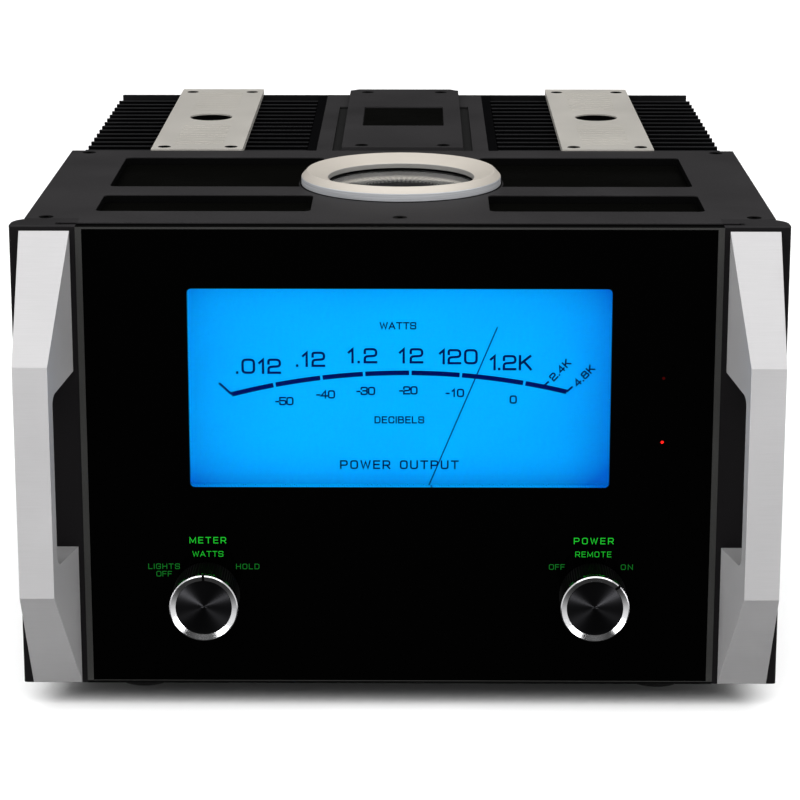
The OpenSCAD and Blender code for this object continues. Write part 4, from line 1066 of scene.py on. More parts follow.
def wide_letters() -> dict[str, Glyph]:
    """Draw a plain alphabet of wide letters with round shoulders.

    Returns:
        The letters by character.
    """
    w = 0.76
    shoulder = 0.27
    soft = 0.2
    box = ((0, 0, shoulder), (w, 0, shoulder), (w, 1, shoulder), (0, 1, shoulder), (0, 0, shoulder))
    bowl = ((0, 0), (0, 1), (w, 1, shoulder), (w, 0.42, shoulder), (0, 0.42))
    return {
        "A": Glyph(0.86, (((0, 0), (0.43, 1), (0.86, 0)), ((0.15, 0.3), (0.71, 0.3)))),
        "B": Glyph(w, (((0, 0.52), (0, 1), (w - 0.05, 1, soft), (w - 0.05, 0.52, soft), (0, 0.52)),
                       ((0, 0.52), (w, 0.52, soft), (w, 0, soft), (0, 0), (0, 0.52)))),
        "C": Glyph(w, (((w, 0.7), (w, 1, shoulder), (0, 1, shoulder), (0, 0, shoulder), (w, 0, shoulder),
                        (w, 0.3)),)),
        "D": Glyph(w, (((0, 0), (w, 0, 0.32), (w, 1, 0.32), (0, 1), (0, 0)),)),
        "E": Glyph(0.66, (((0.66, 0), (0, 0), (0, 1), (0.66, 1)), ((0, 0.52), (0.6, 0.52)))),
        "F": Glyph(0.64, (((0, 0), (0, 1), (0.64, 1)), ((0, 0.5), (0.56, 0.5)))),
        "G": Glyph(w, (((w, 0.72), (w, 1, shoulder), (0, 1, shoulder), (0, 0, shoulder), (w, 0, shoulder),
                        (w, 0.46), (0.42, 0.46)),)),
        "H": Glyph(w, (((0, 0), (0, 1)), ((w, 0), (w, 1)), ((0, 0.5), (w, 0.5)))),
        "I": Glyph(0.0, (((0, 0), (0, 1)),)),
        "K": Glyph(0.72, (((0, 0), (0, 1)), ((0.68, 1), (0.02, 0.4)), ((0.26, 0.6), (0.72, 0)))),
        "L": Glyph(0.62, (((0, 1), (0, 0), (0.62, 0)),)),
        "M": Glyph(0.92, (((0, 0), (0, 1), (0.46, 0.15), (0.92, 1), (0.92, 0)),)),
        "N": Glyph(w, (((0, 0), (0, 1), (w, 0), (w, 1)),)),
        "O": Glyph(w, (box,)),
        "P": Glyph(w, (bowl,)),
        "R": Glyph(w, (bowl, ((0.42, 0.42), (w, 0)))),
        "S": Glyph(w, (((w, 0.74), (w, 1, soft), (0, 1, soft), (0, 0.53, soft), (w, 0.5, soft), (w, 0, soft),
                        (0, 0, soft), (0, 0.26)),)),
        "T": Glyph(w, (((0, 1), (w, 1)), ((w / 2, 0), (w / 2, 1)))),
        "U": Glyph(w, (((0, 1), (0, 0, shoulder), (w, 0, shoulder), (w, 1)),)),
        "W": Glyph(1.06, (((0, 1), (0.25, 0), (0.53, 0.9), (0.81, 0), (1.06, 1)),)),
        "0": Glyph(w, (box,)),
        "1": Glyph(0.24, (((0, 0.76), (0.24, 1), (0.24, 0)),)),
        "2": Glyph(w, (((0, 0.72), (0, 1, shoulder), (w, 1, shoulder), (w, 0.5, soft), (0, 0.44, soft),
                        (0, 0), (w, 0)),)),
        "3": Glyph(w, (((0, 0.78), (0, 1, shoulder), (w, 1, soft), (w, 0.52, soft), (0.24, 0.52)),
                       ((0.24, 0.52), (w, 0.52, soft), (w, 0, shoulder), (0, 0, shoulder), (0, 0.24)))),
        "4": Glyph(w, (((0.56, 0), (0.56, 1), (0, 0.28), (w, 0.28)),)),
        "5": Glyph(w, (((w - 0.04, 1), (0, 1), (0, 0.56), (w, 0.6, shoulder), (w, 0, shoulder),
                        (0, 0, shoulder), (0, 0.24)),)),
        "8": Glyph(w, (((0.04, 0.52, soft), (w - 0.04, 0.52, soft), (w - 0.04, 1, soft), (0.04, 1, soft),
                        (0.04, 0.52, soft)),
                       ((0, 0, soft), (w, 0, soft), (w, 0.52, soft), (0, 0.52, soft), (0, 0, soft)))),
        ".": Glyph(0.0, (((0, 0), (0, 0.02)),)),
        "-": Glyph(0.34, (((0, 0.42), (0.34, 0.42)),)),
        " ": Glyph(0.4, ()),
    }


LETTERS = wide_letters()


def round_corners(points: Stroke) -> tuple[list[Vector], bool]:
    """Turn a stroke's points into a smooth path.

    Args:
        points: Points of the stroke, some with a corner radius.

    Returns:
        The path's points, and whether it is closed.
    """
    closed = len(points) > 2 and points[0][:2] == points[-1][:2]
    corners = points[:-1] if closed else points
    count = len(corners)
    path = []
    for i, corner in enumerate(corners):
        here = Vector(corner[:2])
        inside = closed or 0 < i < count - 1
        if len(corner) < 3 or not inside:
            path.append(here)
            continue
        before = Vector(corners[i - 1][:2]) - here
        after = Vector(corners[(i + 1) % count][:2]) - here
        reach = min(corner[2], before.length / 2, after.length / 2)
        start = here + before.normalized() * reach
        end = here + after.normalized() * reach
        for step in range(CORNER_STEPS):
            t = step / (CORNER_STEPS - 1)
            path.append(start * (1 - t) ** 2 + here * 2 * t * (1 - t) + end * t ** 2)
    return path, closed


@dataclass(frozen=True)
class Label:
    """One line of lettering on an upright face."""

    text: str
    x: float
    z: float
    height: float
    width: float = 0.0
    weight: float = 0.13
    turn: float = 0.0
    stretch: float = 1.0


class Facing(Enum):
    """Side that printed words are read from."""

    FRONT = 1
    REAR = -1


@dataclass
class Print:
    """Flat printing on an upright face, gathered into one mesh."""

    name: str
    face: float
    facing: Facing = Facing.FRONT
    depth: float = 0.06
    mesh: bmesh.types.BMesh = field(default_factory=bmesh.new)

    def corner(self, x: float, z: float, height: float) -> bmesh.types.BMVert:
        """Add a corner at x and z as the words are read, raised off the face by a height."""
        side = self.facing.value
        return self.mesh.verts.new(spot(side * x, self.face - side * height, z))

    def ribbon(self, path: Sequence[Vector], width: float, closed: bool = False) -> None:
        """Lay a band of ink along a path.

        Args:
            path: Points of the path in x and z.
            width: Width of the band in millimetres.
            closed: Whether the path returns to its start.
        """
        count = len(path)
        rows = []
        for i, here in enumerate(path):
            last = path[i - 1] if closed or i > 0 else None
            following = path[(i + 1) % count] if closed or i < count - 1 else None
            arrive = (here - last).normalized() if last is not None else None
            leave = (following - here).normalized() if following is not None else None
            arrive = arrive if arrive is not None else leave
            leave = leave if leave is not None else arrive
            mean = (arrive + leave).normalized()
            side = Vector((-mean.y, mean.x))
            lean = max(MITRE_LIMIT, side.dot(Vector((-leave.y, leave.x))))
            offset = side * (width / 2 / lean)
            edges = (here - offset, here + offset)
            rows.append([self.corner(p.x, p.y, height) for height in (0.0, self.depth) for p in edges])
        pairs = list(zip(rows, rows[1:] + rows[:1])) if closed else list(zip(rows, rows[1:]))
        for a, b in pairs:
            for i, j in ((0, 1), (1, 3), (3, 2), (2, 0)):
                self.mesh.faces.new((a[i], a[j], b[j], b[i]))
        if not closed:
            for end in (rows[0], rows[-1]):
                self.mesh.faces.new((end[0], end[1], end[3], end[2]))

    def disc(self, x: float, z: float, radius: float) -> None:
        """Lay a round dot.

        Args:
            x: Middle of the dot.
            z: Height of the dot.
            radius: Radius of the dot.
        """
        ring = circle((x, z), radius, DOT_STEPS)
        back = [self.corner(px, pz, 0.0) for px, pz in ring]
        front = [self.corner(px, pz, self.depth) for px, pz in ring]
        self.mesh.faces.new(back)
        self.mesh.faces.new(front)
        for i in range(len(ring)):
            self.mesh.faces.new((back[i - 1], back[i], front[i], front[i - 1]))

    def write(self, label: Label) -> None:
        """Write a line of lettering about its middle.

        Args:
            label: Words, place and size.
        """
        pen = label.height * label.weight
        rise = label.height - pen
        glyphs = [LETTERS[c] for c in label.text]
        wide = label.height * label.stretch
        widths = [g.width * wide + pen for g in glyphs]
        gap = LETTER_GAP * label.height
        if label.width > 0 and len(glyphs) > 1:
            gap = (label.width - sum(widths)) / (len(glyphs) - 1)
        total = sum(widths) + gap * (len(glyphs) - 1)
        turn = Matrix.Rotation(math.radians(label.turn), 2)
        middle = Vector((label.x, label.z))
        left = -total / 2
        for glyph, width in zip(glyphs, widths):
            for stroke in glyph.strokes:
                path, closed = round_corners(stroke)
                drawn = [Vector((left + pen / 2 + p.x * wide, p.y * rise - rise / 2)) for p in path]
                if not closed:
                    drawn[0] += (drawn[0] - drawn[1]).normalized() * pen / 2
                    drawn[-1] += (drawn[-1] - drawn[-2]).normalized() * pen / 2
                self.ribbon([middle + turn @ p for p in drawn], pen, closed)
            left += width + gap

    def build(self, finish: Finish, slot: str) -> Piece:
        """Turn the printing into a piece on the chassis, with a finish; the slot is not used."""
        return make_piece(self.name, self.mesh, finish, "chassis")


@dataclass
class SubAssembly:
    """Group of pieces that are built and dressed together."""

    def build(self) -> list[Piece]:
        """Return the pieces made here, besides the frame's own nodes."""
        return []

    def dress(self) -> list[Piece]:
        """Give the frame's nodes of this group their finishes, and return them."""
        return []


@dataclass
class MeterWindow:
    """Clear window in the front glass."""

    half_w: float = 121.5
    low: float = 121.0
    high: float = 239.2
    corner: float = 2.5

    def outline(self, inset: float = 0.0) -> list[Point]:
        """Return the window's outline in x and z.

        Args:
            inset: Distance that the outline is drawn in.

        Returns:
            The outline's points.
        """
        low = (-self.half_w + inset, self.low + inset)
        high = (self.half_w - inset, self.high - inset)
        return rounded_rectangle(low, high, self.corner - inset)


@dataclass
class FrontGlass(SubAssembly):
    """Black-backed front glass with its clear window, green legends and lamp spots."""

    window: MeterWindow = field(default_factory=MeterWindow)
    knob_x: float = 113.0
    knob_z: float = 56.0
    shaft_hole: float = 3.6
    hole_steps: int = 48
    fit: float = 0.02
    pane_inset: float = 0.1
    lamp_x: float = 151.8
    lamp_low: float = 148.6
    lamp_high: float = 186.8
    lamp_r: float = 0.85
    bright: tuple[Label, ...] = (
        Label("METER", -112.0, 88.5, 3.9, 21.4, 0.125, 0.0, 0.92),
        Label("WATTS", -112.1, 80.1, 3.4, 18.0, 0.1, 0.0, 0.96),
        Label("POWER", 113.3, 88.5, 3.9, 23.2, 0.125, 0.0, 0.94),
        Label("REMOTE", 113.2, 80.3, 3.4, 21.0, 0.1, 0.0, 0.92))
    faint: tuple[Label, ...] = (
        Label("LIGHTS", -137.9, 72.4, 3.3, 18.4, 0.11, 0.0, 0.96),
        Label("OFF", -137.9, 67.8, 3.3, 9.1, 0.11, 0.0, 0.98),
        Label("HOLD", -88.9, 72.4, 3.3, 13.6, 0.11, 0.0, 0.96),
        Label("OFF", 92.0, 72.5, 3.3, 9.2, 0.11, 0.0, 0.98),
        Label("ON", 132.9, 72.5, 3.3, 7.0, 0.11, 0.0, 1.0))

    def build(self) -> list[Piece]:
        """Make the glass in two pieces, with the printing on its front.

        Returns:
            The glass, the clear pane, the legends and the lamp spots.
        """
        low, high = design_box("front_glass")
        edge = [(low.x, low.z), (high.x, low.z), (high.x, high.z), (low.x, high.z)]
        knobs = [(side.value * self.knob_x, self.knob_z) for side in Side]
        holes = [circle(knob, self.shaft_hole, self.hole_steps) for knob in knobs]
        plate = upright_plate([edge, self.window.outline(), *holes], 0.0, high.y)
        field_glass = make_piece("front_glass_field", plate, FIELD_GLASS, "chassis")
        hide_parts("front_glass")
        pane = upright_plate([self.window.outline(self.fit)], self.pane_inset, high.y - self.pane_inset)
        window_pane = make_piece("meter_window_pane", pane, CLEAR_PANE, "chassis")
        return [field_glass, window_pane, *self.legends(), *self.lamp_spots()]

    def legends(self) -> list[Piece]:
        """Print the green words above the knobs.

        Returns:
            The bright words and the faint ones.
        """
        made = []
        for name, labels, finish in (("bright_legends", self.bright, LEGEND_GREEN),
                                     ("faint_legends", self.faint, LEGEND_DIM)):
            words = Print(name, 0.0)
            for label in labels:
                words.write(label)
            made.append(words.build(finish, "board_green"))
        return made

    def lamp_spots(self) -> list[Piece]:
        """Print the spots where the two indicator lamps show through the glass.

        Returns:
            The lit spot and the unlit one, which has a dim painted glow.
        """
        made = []
        for name, z, finish in (("lit_lamp_spot", self.lamp_low, LAMP_ON),
                                ("unlit_lamp_spot", self.lamp_high, UNLIT_LAMP_GLOW)):
            dot = Print(name, 0.0)
            dot.disc(self.lamp_x, z, self.lamp_r)
            made.append(dot.build(finish, "red_lamp"))
        return made

    def dress(self) -> list[Piece]:
        """Dress the trim round the glass, the panel behind it and the lamps."""
        return [*dress(TRIM_GREY, "glass_trim"), *dress(BLACK_LACQUER_AND_SHADE, "sub_panel"),
                *dress(RED_LENS, "indicator_leds")]


@dataclass
class Meter(SubAssembly):
    """Lit dial with its printed scales, and the movement behind it."""

    window: MeterWindow = field(default_factory=MeterWindow)
    dial_face: float = 12.0
    arc_x: float = 3.4
    arc_z: float = -208.4
    arc_r: float = 395.1
    arc_w: float = 2.8
    arc_left: float = -14.8
    arc_right: float = 13.67
    arc_steps: int = 8
    left_tail: Point = (-104.8, 180.4)
    left_tail_w: float = 1.3
    right_tail: Point = (100.3, 178.7)
    right_tail_w: float = 1.2
    tick: tuple[Point, Point] = ((83.5, 179.0), (86.4, 181.7))
    tick_w: float = 1.1
    slit: float = 0.2
    slits: tuple[float, ...] = (-11.09, -7.09, -3.49, 0.4, 4.65, 10.03)
    watts: tuple[tuple[str, float, float, float], ...] = (
        (".012", -81.8, 190.5, 26.2), (".12", -51.6, 194.7, 17.0), ("1.2", -21.5, 196.9, 17.2),
        ("12", 6.6, 196.9, 14.2), ("120", 33.9, 196.4, 22.5), ("1.2K", 64.3, 192.9, 24.4))
    watts_h: float = 9.2
    watts_weight: float = 0.155
    watts_stretch: float = 0.94
    decibels: tuple[tuple[str, float, float, float], ...] = (
        ("-50", -67.0, 169.6, 10.7), ("-40", -43.0, 173.7, 11.0), ("-30", -19.7, 175.8, 11.0),
        ("-20", 5.0, 176.2, 10.8), ("-10", 32.0, 174.7, 10.8), ("0", 65.9, 170.8, 0.0))
    decibels_h: float = 5.1
    decibels_weight: float = 0.185
    decibels_stretch: float = 0.86
    glow_middle: Colour = screen(0, 179, 255)
    glow_edge: Colour = screen(0, 92, 196)
    glow_x: float = -6.0
    glow_rise: float = 2.0
    glow_w: float = 1.08
    glow_h: float = 1.15
    words: tuple[Label, ...] = (
        Label("WATTS", -1.0, 214.8, 4.4, 21.2, 0.18, 0.0, 0.86),
        Label("DECIBELS", -0.2, 158.4, 4.4, 29.0, 0.18, 0.0, 0.84),
        Label("POWER OUTPUT", -0.2, 131.2, 5.4, 69.4, 0.17, 0.0, 0.9),
        Label("2.4K", 92.8, 188.5, 4.6, 15.0, 0.2, 47.0, 0.93),
        Label("4.8K", 106.7, 185.1, 4.6, 15.0, 0.2, 47.0, 0.93))

    def on_arc(self, turn: float, radius: float) -> Vector:
        """Return the x and z at degrees clockwise from upright and a distance from the centre."""
        angle = math.radians(turn)
        return Vector((self.arc_x + radius * math.sin(angle), self.arc_z + radius * math.cos(angle)))

    def build(self) -> list[Piece]:
        """Print the scales on the dial.

        Returns:
            The printed piece.
        """
        ink = Print("dial_print", self.dial_face)
        stops = [self.arc_left, *self.slits, self.arc_right]
        for i, (start, end) in enumerate(zip(stops, stops[1:])):
            first = start + (self.slit / 2 if i > 0 else 0)
            last = end - (self.slit / 2 if i < len(stops) - 2 else 0)
            turns = [first + (last - first) * k / self.arc_steps for k in range(self.arc_steps + 1)]
            ink.ribbon([self.on_arc(turn, self.arc_r) for turn in turns], self.arc_w)
        ink.ribbon([self.on_arc(self.arc_left, self.arc_r), Vector(self.left_tail)], self.left_tail_w)
        ink.ribbon([self.on_arc(self.arc_right, self.arc_r), Vector(self.right_tail)], self.right_tail_w)
        ink.ribbon([Vector(end) for end in self.tick], self.tick_w)
        for text, x, z, width in self.watts:
            ink.write(Label(text, x, z, self.watts_h, width, self.watts_weight, 0.0, self.watts_stretch))
        for text, x, z, width in self.decibels:
            ink.write(Label(text, x, z, self.decibels_h, width, self.decibels_weight, 0.0,
                            self.decibels_stretch))
        for label in self.words:
            ink.write(label)
        return [ink.build(INK, "needle_black")]

    def dress(self) -> list[Piece]:
        """Dress the dial, the needle and what is behind them.

        Returns:
            The dressed nodes.
        """
        middle = (self.window.low + self.window.high) / 2
        half_h = (self.window.high - self.window.low) / 2
        centre = (self.glow_x, middle + self.glow_rise)
        glow = LitDial("lit_blue_dial", self.glow_middle, self.glow_edge, centre,
                       self.window.half_w * self.glow_w, half_h * self.glow_h)
        return [*dress(glow, "meter_dial"), *dress(NEEDLE_DIAL_LIT, "meter_needle"),
                *dress(TRAY_WHITE, "meter_housing"), *dress(MOULDED_BLACK, "meter_movement"),
                *dress(BOARD, "meter_lamp_board")]


@dataclass
class Controls(SubAssembly):
    """Two rotary switches with spun knobs and bright rings."""

    edge: float = 0.25
    knob_z: float = 56.0
    knobs: tuple[tuple[str, float, float], ...] = (("meter_knob", -113.0, 0.0), ("power_knob", 113.0, 45.0))
    notch_half: float = 0.78
    notch_in: float = 16.35
    notch_out: float = 19.7
    notch_front: float = -25.3
    notch_back: float = -24.05

    def build(self) -> list[Piece]:
        """Fill the rings' pointer notches with black and return the fillings."""
        return [self.pointer(*knob) for knob in self.knobs]

    def pointer(self, body: str, x: float, turn: float) -> Piece:
        """Fill the notch of one ring.

        Args:
            body: Body of the knob.
            x: Middle of the knob.
            turn: Degrees that the notch is turned clockwise from upright.

        Returns:
            The filling.
        """
        low = (x - self.notch_half, self.notch_front, self.knob_z + self.notch_in)
        high = (x + self.notch_half, self.notch_back, self.knob_z + self.notch_out)
        mesh = block(low, high)
        spin = Matrix.Rotation(math.radians(turn), 3, "Y")
        bmesh.ops.rotate(mesh, verts=mesh.verts, cent=spot(x, 0, self.knob_z), matrix=spin)
        return make_piece(f"{body}_pointer", mesh, BLACK_LACQUER_AND_SHADE, body)

    def dress(self) -> list[Piece]:
        """Dress the knobs, their rings, shafts and switches.

        Returns:
            The dressed nodes.
        """
        return [*dress(KNOB_BLACK, "meter_knob", "power_knob"),
                *dress(CHROME, "meter_knob_ring", "power_knob_ring"),
                *dress(STEEL, "meter_switch_shaft", "power_switch_shaft"),
                *dress(MOULDED_BLACK, "meter_switch", "power_switch", edge=self.edge)]


@dataclass
class EndFrames(SubAssembly):
    """End cheeks with their grab handles and bolts."""

    cheek_edge: float = 0.8
    handle_edge: float = 0.9

    def dress(self) -> list[Piece]:
        """Dress the cheeks, the handles and their bolts.

        Returns:
            The dressed nodes.
        """
        return [*dress(CHEEK_BLACK, "end_cheek_left", "end_cheek_right", edge=self.cheek_edge),
                *dress(HANDLE_SILVER, "handle_left", "handle_right", edge=self.handle_edge),
                *dress(STEEL, "handle_bolts", edge=self.handle_edge)]


@dataclass
class TopDeck(SubAssembly):
    """Top cover with its sunk panes and the round window."""

    edge: float = 0.5
    # Thin black rings of painted shade by the round glass and of painted shadow at the ring's foot: name,
    # inner and outer radius, height
    shade_rings: tuple[tuple[str, float, float, float], ...] = (
        ("round_glass_painted_shade", 44.35, 44.65, 1.1), ("window_ring_painted_shadow", 61.25, 62.0, 0.3))

    def build(self) -> list[Piece]:
        """Lay thin black rings inside and round the window's ring, as painted shade by the glass and a painted
        shadow at the ring's foot.

        Returns:
            The black rings.
        """
        made = []
        for name, inner, outer, height in self.shade_rings:
            ring = sleeve(0.0, RING_Y, inner, outer, COVER_TOP, COVER_TOP + height)
            made.append(make_piece(name, ring, BLACK_LACQUER_AND_SHADE, "chassis"))
        return made

    def dress(self) -> list[Piece]:
        """Dress the cover, its panes and the round window.

        Returns:
            The dressed nodes.
        """
        return [*dress(COVER_COAT, "top_cover", edge=self.edge), *dress(STEEL, "cover_rails"),
                *dress(DARK_PANE, "cover_panes"), *dress(RING_SILVER, "window_ring", edge=self.edge),
                *dress(ROUND_PANE, "window_glass"), *dress(WELL_SILVER, "badge_well"),
                *dress(BADGE_BLACK, "badge_disc"), *dress(BLACK_LACQUER_AND_SHADE, "top_screws")]


@dataclass
class RearBay(SubAssembly):
    """Finned heat sinks with silver caps, and the cover between them."""

    cover_edge: float = 0.5
    cap_hole_y: float = 373.0
    cap_hole_r: float = 14.8
    # Black tube that darkens each cap's hole as painted shade: its fit, thickness and drop below the cap's top
    hole_shade_fit: float = 0.05
    hole_shade_t: float = 1.25
    hole_shade_rim: float = 0.9
    field_w: float = 56.0
    field_y: float = 338.0
    field_d: float = 82.0
    field_sink: float = 1.5
    field_edge: float = 0.4
    seal_in: float = 1.3
    seal_w: float = 8.0
    seal_fit: float = 0.05

    def build(self) -> list[Piece]:
        """Lay a bare black plate in the rear cover's field, darken the caps' holes with painted shade and seal
        the sinks' edges.

        Returns:
            The plate, the two black tubes of painted shade and the two rubber strips.
        """
        half = self.field_w / 2 - self.field_edge
        floor = design_box("rear_cover")[1].z - self.field_sink
        low = (-half, self.field_y + self.field_edge, floor)
        high = (half, self.field_y + self.field_d - self.field_edge, floor + self.field_edge)
        plate = make_piece("rear_field_plate", block(low, high), DARK_PANE, "chassis")
        return [plate, *(self.hole_shade(side) for side in Side), *(self.seal(side) for side in Side)]

    def seal(self, side: Side) -> Piece:
        """Close the slit between the bulkhead and the outer edge of a heat sink.

        Args:
            side: Side of the heat sink.

        Returns:
            The rubber strip.
        """
        wall_low, wall_high = design_box("bulkhead")
        sink = design_box(f"heatsink_{side.word}")
        outer = max(abs(corner.x) for corner in sink) - self.seal_in
        ends = sorted((outer * side.value, (outer - self.seal_w) * side.value))
        low = (ends[0], wall_high.y + self.seal_fit, wall_low.z + self.seal_fit)
        high = (ends[1], sink[0].y - self.seal_fit, wall_high.z)
        return make_piece(f"sink_seal_{side.word}", block(low, high), RUBBER, "chassis")

    def hole_shade(self, side: Side) -> Piece:
        """Darken the side of a cap's hole with a black tube, as painted shade.

        Args:
            side: Side of the cap.

        Returns:
            The black tube.
        """
        low, high = design_box(f"heatsink_cap_{side.word}")
        outer = self.cap_hole_r - self.hole_shade_fit
        tube = sleeve((low.x + high.x) / 2, self.cap_hole_y, outer - self.hole_shade_t, outer, low.z,
                      high.z - self.hole_shade_rim)
        return make_piece(f"cap_hole_shade_{side.word}", tube, BLACK_LACQUER_AND_SHADE, "chassis")

    def dress(self) -> list[Piece]:
        """Dress the heat sinks, their caps, the deck and the rear cover.

        Returns:
            The dressed nodes.
        """
        sinks = [p for side, coat in FIN_COATS.items() for p in dress(coat, f"heatsink_{side.word}")]
        return [*sinks, *dress(CAP_SILVER, "heatsink_cap_left", "heatsink_cap_right"),
                *dress(DECK_COAT, "rear_deck", "rear_cover", edge=self.cover_edge)]


@dataclass
class Chassis(SubAssembly):
    """Base pan, side panels, bulkhead, rear panel and feet."""

    edge: float = 0.5

    def dress(self) -> list[Piece]:
        """Dress the sheet metal and the feet.

        Returns:
            The dressed nodes.
        """
        sheets = ("base_pan", "side_panel_left", "side_panel_right", "bulkhead")
        return [*dress(BLACK_COAT, *sheets, edge=self.edge), *dress(BLACK_COAT, "rear_panel"),
                *dress(RUBBER, "feet", edge=self.edge),
                *dress(STEEL, "foot_screws")]


@dataclass
class RearSockets(SubAssembly):
    """Loudspeaker terminals, signal inputs, input switch and mains inlet."""

    edge: float = 0.3
    words: tuple[Label, ...] = (
        Label("BALANCED", 29.0, 236.0, 4.0), Label("UNBALANCED", -29.0, 236.0, 4.0),
        Label("INPUT", 0.0, 192.0, 4.0), Label("OUTPUT", 0.0, 141.0, 5.0))

    def build(self) -> list[Piece]:
        """Print the names of the sockets on the rear panel.

        Returns:
            The printed words.
        """
        names = Print("rear_print", design_box("rear_panel")[1].y, Facing.REAR)
        for label in self.words:
            names.write(label)
        return [names.build(LABEL_WHITE, "white_plastic")]

    def dress(self) -> list[Piece]:
        """Dress the terminals and the sockets.

        Returns:
            The dressed nodes.
        """
        nuts = [f"terminal_nut_{i}" for i in range(1, 5)]
        return [*dress(MOULDED_BLACK, "terminal_block", "xlr_input", "mains_inlet", "input_switch_body",
                       edge=self.edge),
                *dress(GOLD, "terminal_studs", "rca_input", *nuts, edge=self.edge),
                *dress(SLIDER_WHITE, "input_switch_slider", edge=self.edge)]


@dataclass
class Inside(SubAssembly):
    """Transformers, capacitors, boards and transistors."""

    edge: float = 0.4

    def dress(self) -> list[Piece]:
        """Dress the pieces inside the chassis.

        Returns:
            The dressed nodes.
        """
        return [*dress(CAN_BLACK, "power_transformer", "output_transformer"),
                *dress(CAPACITOR_SLEEVE, "filter_capacitors"), *dress(STEEL, "capacitor_clamp"),
                *dress(BOARD, "driver_boards"), *dress(MOULDED_BLACK, "output_transistors", edge=self.edge)]


@dataclass(frozen=True)
class Patch:
    """Bright patch of the mirrored surroundings, faded along axes between a dark and a bright end."""

    light: float
    fades: tuple[tuple[Axis, float, float], ...]


@dataclass(frozen=True)
class Softbox:
    """Pair of soft lights that face the amplifier, one on each side, and may light only a few nodes.

    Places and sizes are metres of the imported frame. The left light has left_extra more watts than power, and
    the right light as many fewer.
    """

    name: str
    place: tuple[float, float, float]
    size: Point
    power: float
    nodes: tuple[str, ...] = ()
    left_extra: float = 0.0
    mirrored: bool = True


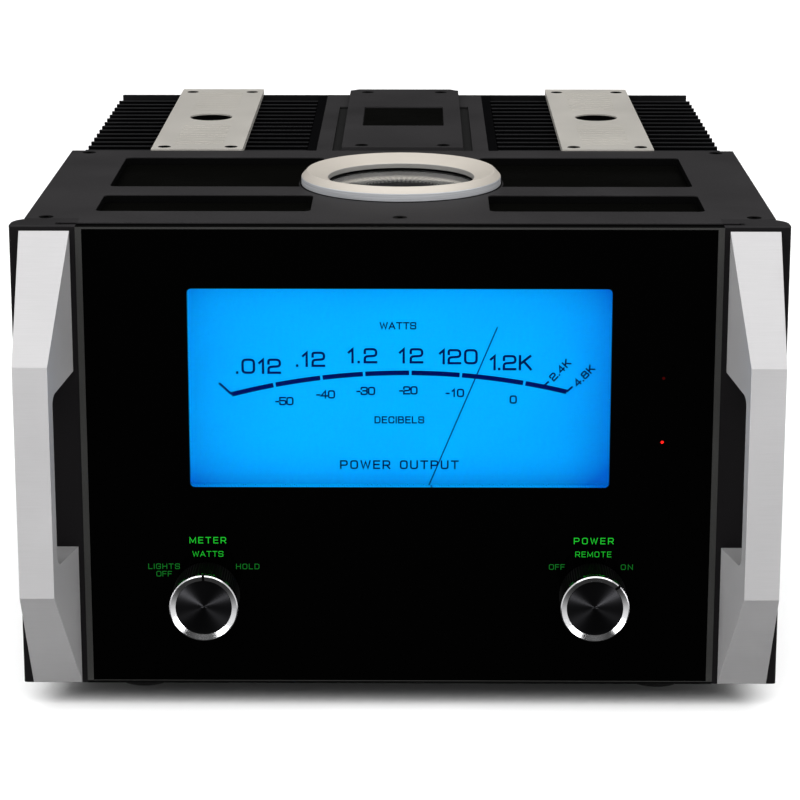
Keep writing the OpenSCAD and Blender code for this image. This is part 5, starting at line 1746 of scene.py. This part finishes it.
@dataclass
class Studio:
    """Pale floor, soft light and the photograph's camera. The floor's reach is in metres."""

    camera_place: tuple[float, float, float] = (11.0, -1502.0, 587.5)
    camera_tilt: float = 13.88
    camera_turn: float = 0.41
    focal_px: float = 2703.0
    image_px: float = 800.0
    sensor: float = 36.0
    axis_px: float = 328.0
    floor_half: float = 40.0
    ceiling_power: float = 1.8
    ceiling_spread: float = 80.0
    ceiling_lean: float = 12.0
    wash_power: float = 2.1
    wash_spread: float = 30.0
    wash_lean: float = 50.0
    soft_light: float = 0.4
    backdrop_light: float = 1.05
    mirror_light: float = 0.03
    aim_z: float = 130.0
    softboxes: tuple[Softbox, ...] = (
        Softbox("front_softbox", (1.5, -1.6, 1.5), (1.0, 1.0), 16.0, mirrored=False),
        Softbox("side_strip", (1.75, -1.1, 0.45), (0.5, 0.9), 19.0, ("handle_left", "handle_right"), 5.0),
        Softbox("knob_fan", (1.19, -1.7, 0.16), (0.25, 0.25), 80.0, ("meter_knob", "power_knob")),
        Softbox("ring_lobe", (0.92, -1.55, 0.36), (0.5, 0.68), 5.0, ("meter_knob_ring", "power_knob_ring")))
    patches: tuple[Patch, ...] = (
        Patch(0.85, ((Axis.Y, -0.1, -0.8), (Axis.Z, 0.35, -0.05), (Axis.Z, -0.8, -0.15))),
        Patch(0.68, ((Axis.Y, -0.5, -0.3), (Axis.Y, 0.55, 0.25), (Axis.Z, -0.45, -0.2))),
        Patch(0.12, ((Axis.Y, -0.35, -0.6), (Axis.Z, 0.4, 0.6))),
        Patch(0.6, ((Axis.Y, 0.2, 0.7), (Axis.Z, -0.02, -0.2), (Axis.Z, -0.8, -0.4))))

    def build(self) -> None:
        """Make the floor, the lights, the surroundings and the camera."""
        floor = self.floor()
        self.surroundings()
        self.sun("ceiling", self.ceiling_power, self.ceiling_spread, self.ceiling_lean)
        wash = self.sun("floor_wash", self.wash_power, self.wash_spread, self.wash_lean)
        self.lights_only(wash, floor)
        for side in Side:
            for box in self.softboxes:
                self.hang(box, side)
        self.camera()

    def lights_only(self, lamp: Piece, *pieces: Piece) -> None:
        """Keep a light to a few pieces.

        Args:
            lamp: The light.
            pieces: Pieces that it lights.
        """
        lit = bpy.data.collections.new(f"lit_by_{lamp.name}")
        for piece in pieces:
            lit.objects.link(piece)
        lamp.light_linking.receiver_collection = lit

    def floor(self) -> Piece:
        """Lay a plain white floor under the feet.

        Returns:
            The floor.
        """
        mesh = bmesh.new()
        reach = self.floor_half
        places = ((-reach, -reach), (reach, -reach), (reach, reach), (-reach, reach))
        mesh.faces.new([mesh.verts.new((x, y, 0.0)) for x, y in places])
        floor = mesh_object("floor", mesh, FLOOR_PAPER)
        floor.visible_glossy = False
        return floor

    def sun(self, name: str, power: float, spread: float, lean: float) -> Piece:
        """Hang a wide even light.

        Args:
            name: Name of the light.
            power: Power in watts per square metre.
            spread: Width of the light in degrees.
            lean: Angle in degrees that it leans towards the front.

        Returns:
            The light.
        """
        light = bpy.data.lights.new(name, "SUN")
        light.energy = power
        light.angle = math.radians(spread)
        lamp = put(name, light)
        lamp.rotation_euler = (math.radians(lean), 0.0, 0.0)
        return lamp

    def surroundings(self) -> None:
        """Make a white backdrop whose mirror image is dark, but for a few bright patches."""
        world = bpy.data.worlds.new("white_surroundings")
        world.use_nodes = True
        bpy.context.scene.world = world
        nodes = Nodes(world.node_tree)
        soft = nodes.tree.nodes["Background"]
        nodes.feed(soft.inputs["Strength"], self.soft_light)
        seen = nodes.node("ShaderNodeBackground", {"Strength": self.backdrop_light})
        mirrored = nodes.node("ShaderNodeBackground", {"Strength": self.mirror(nodes)})
        for light in (soft, seen, mirrored):
            nodes.feed(light.inputs["Color"], (1.0, 1.0, 1.0))
        rays = nodes.node("ShaderNodeLightPath", {})
        last = soft.outputs[0]
        for kind, light in (("Is Glossy Ray", mirrored), ("Is Camera Ray", seen)):
            inputs = {0: rays.outputs[kind], 1: last, 2: light.outputs[0]}
            last = nodes.node("ShaderNodeMixShader", inputs).outputs[0]
        nodes.feed(nodes.tree.nodes["World Output"].inputs[0], last)

    def mirror(self, nodes: Nodes) -> Socket:
        """Return the mirrored brightness in each direction.

        Args:
            nodes: Nodes of the surroundings.

        Returns:
            The brightness's socket.
        """
        split = nodes.node("ShaderNodeSeparateXYZ", {0: nodes.coordinates.outputs["Generated"]})
        total = self.mirror_light
        for patch in self.patches:
            share = patch.light
            for axis, start, end in patch.fades:
                inputs = {0: split.outputs[axis.value], 1: start, 2: end}
                fade = nodes.node("ShaderNodeMapRange", inputs, interpolation_type="SMOOTHSTEP")
                share = nodes.math("MULTIPLY", fade.outputs[0], share)
            total = nodes.math("ADD", share, total)
        return total

    def hang(self, box: Softbox, side: Side) -> None:
        """Hang one light of a pair.

        Args:
            box: The pair.
            side: Side that the light hangs on.
        """
        light = bpy.data.lights.new(box.name, "AREA")
        light.shape = "RECTANGLE"
        light.size = box.size[0]
        light.size_y = box.size[1]
        light.energy = box.power - box.left_extra * side.value
        lamp = put(box.name, light)
        lamp.location = (box.place[0] * side.value, *box.place[1:])
        aim = spot(0, 0, self.aim_z) - lamp.location
        lamp.rotation_euler = aim.to_track_quat("-Z", "Y").to_euler()
        lamp.visible_glossy = box.mirrored
        if box.nodes:
            self.lights_only(lamp, *(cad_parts[name] for name in box.nodes))

    def camera(self) -> None:
        """Set the camera where the photograph was taken."""
        lens = bpy.data.cameras.new("photo_camera")
        lens.sensor_width = self.sensor
        lens.lens = self.focal_px / self.image_px * self.sensor
        lens.shift_y = (self.axis_px - self.image_px / 2) / self.image_px
        camera = put("photo_camera", lens)
        camera.location = spot(*self.camera_place)
        camera.rotation_euler = (math.radians(90 - self.camera_tilt), 0.0, math.radians(self.camera_turn))
        bpy.context.scene.camera = camera
        bpy.context.scene.view_settings.view_transform = "Standard"


def report(group: SubAssembly, pieces: Iterable[Piece]) -> None:
    """Log the pieces of a group.

    Args:
        group: Group that the pieces belong to.
        pieces: Pieces that were made or dressed.
    """
    for piece in pieces:
        LOG.info("%s: %s", type(group).__name__, piece.name)


def main() -> None:
    """Build and dress every group, logging their pieces, then light it."""
    logging.basicConfig(level=logging.INFO, format="%(name)s %(message)s")
    groups = (FrontGlass(), Meter(), Controls(), EndFrames(), TopDeck(), RearBay(), Chassis(), RearSockets(),
              Inside())
    for group in groups:
        report(group, group.build())
        report(group, group.dress())
    Studio().build()


if __name__ == "__main__":
    main()
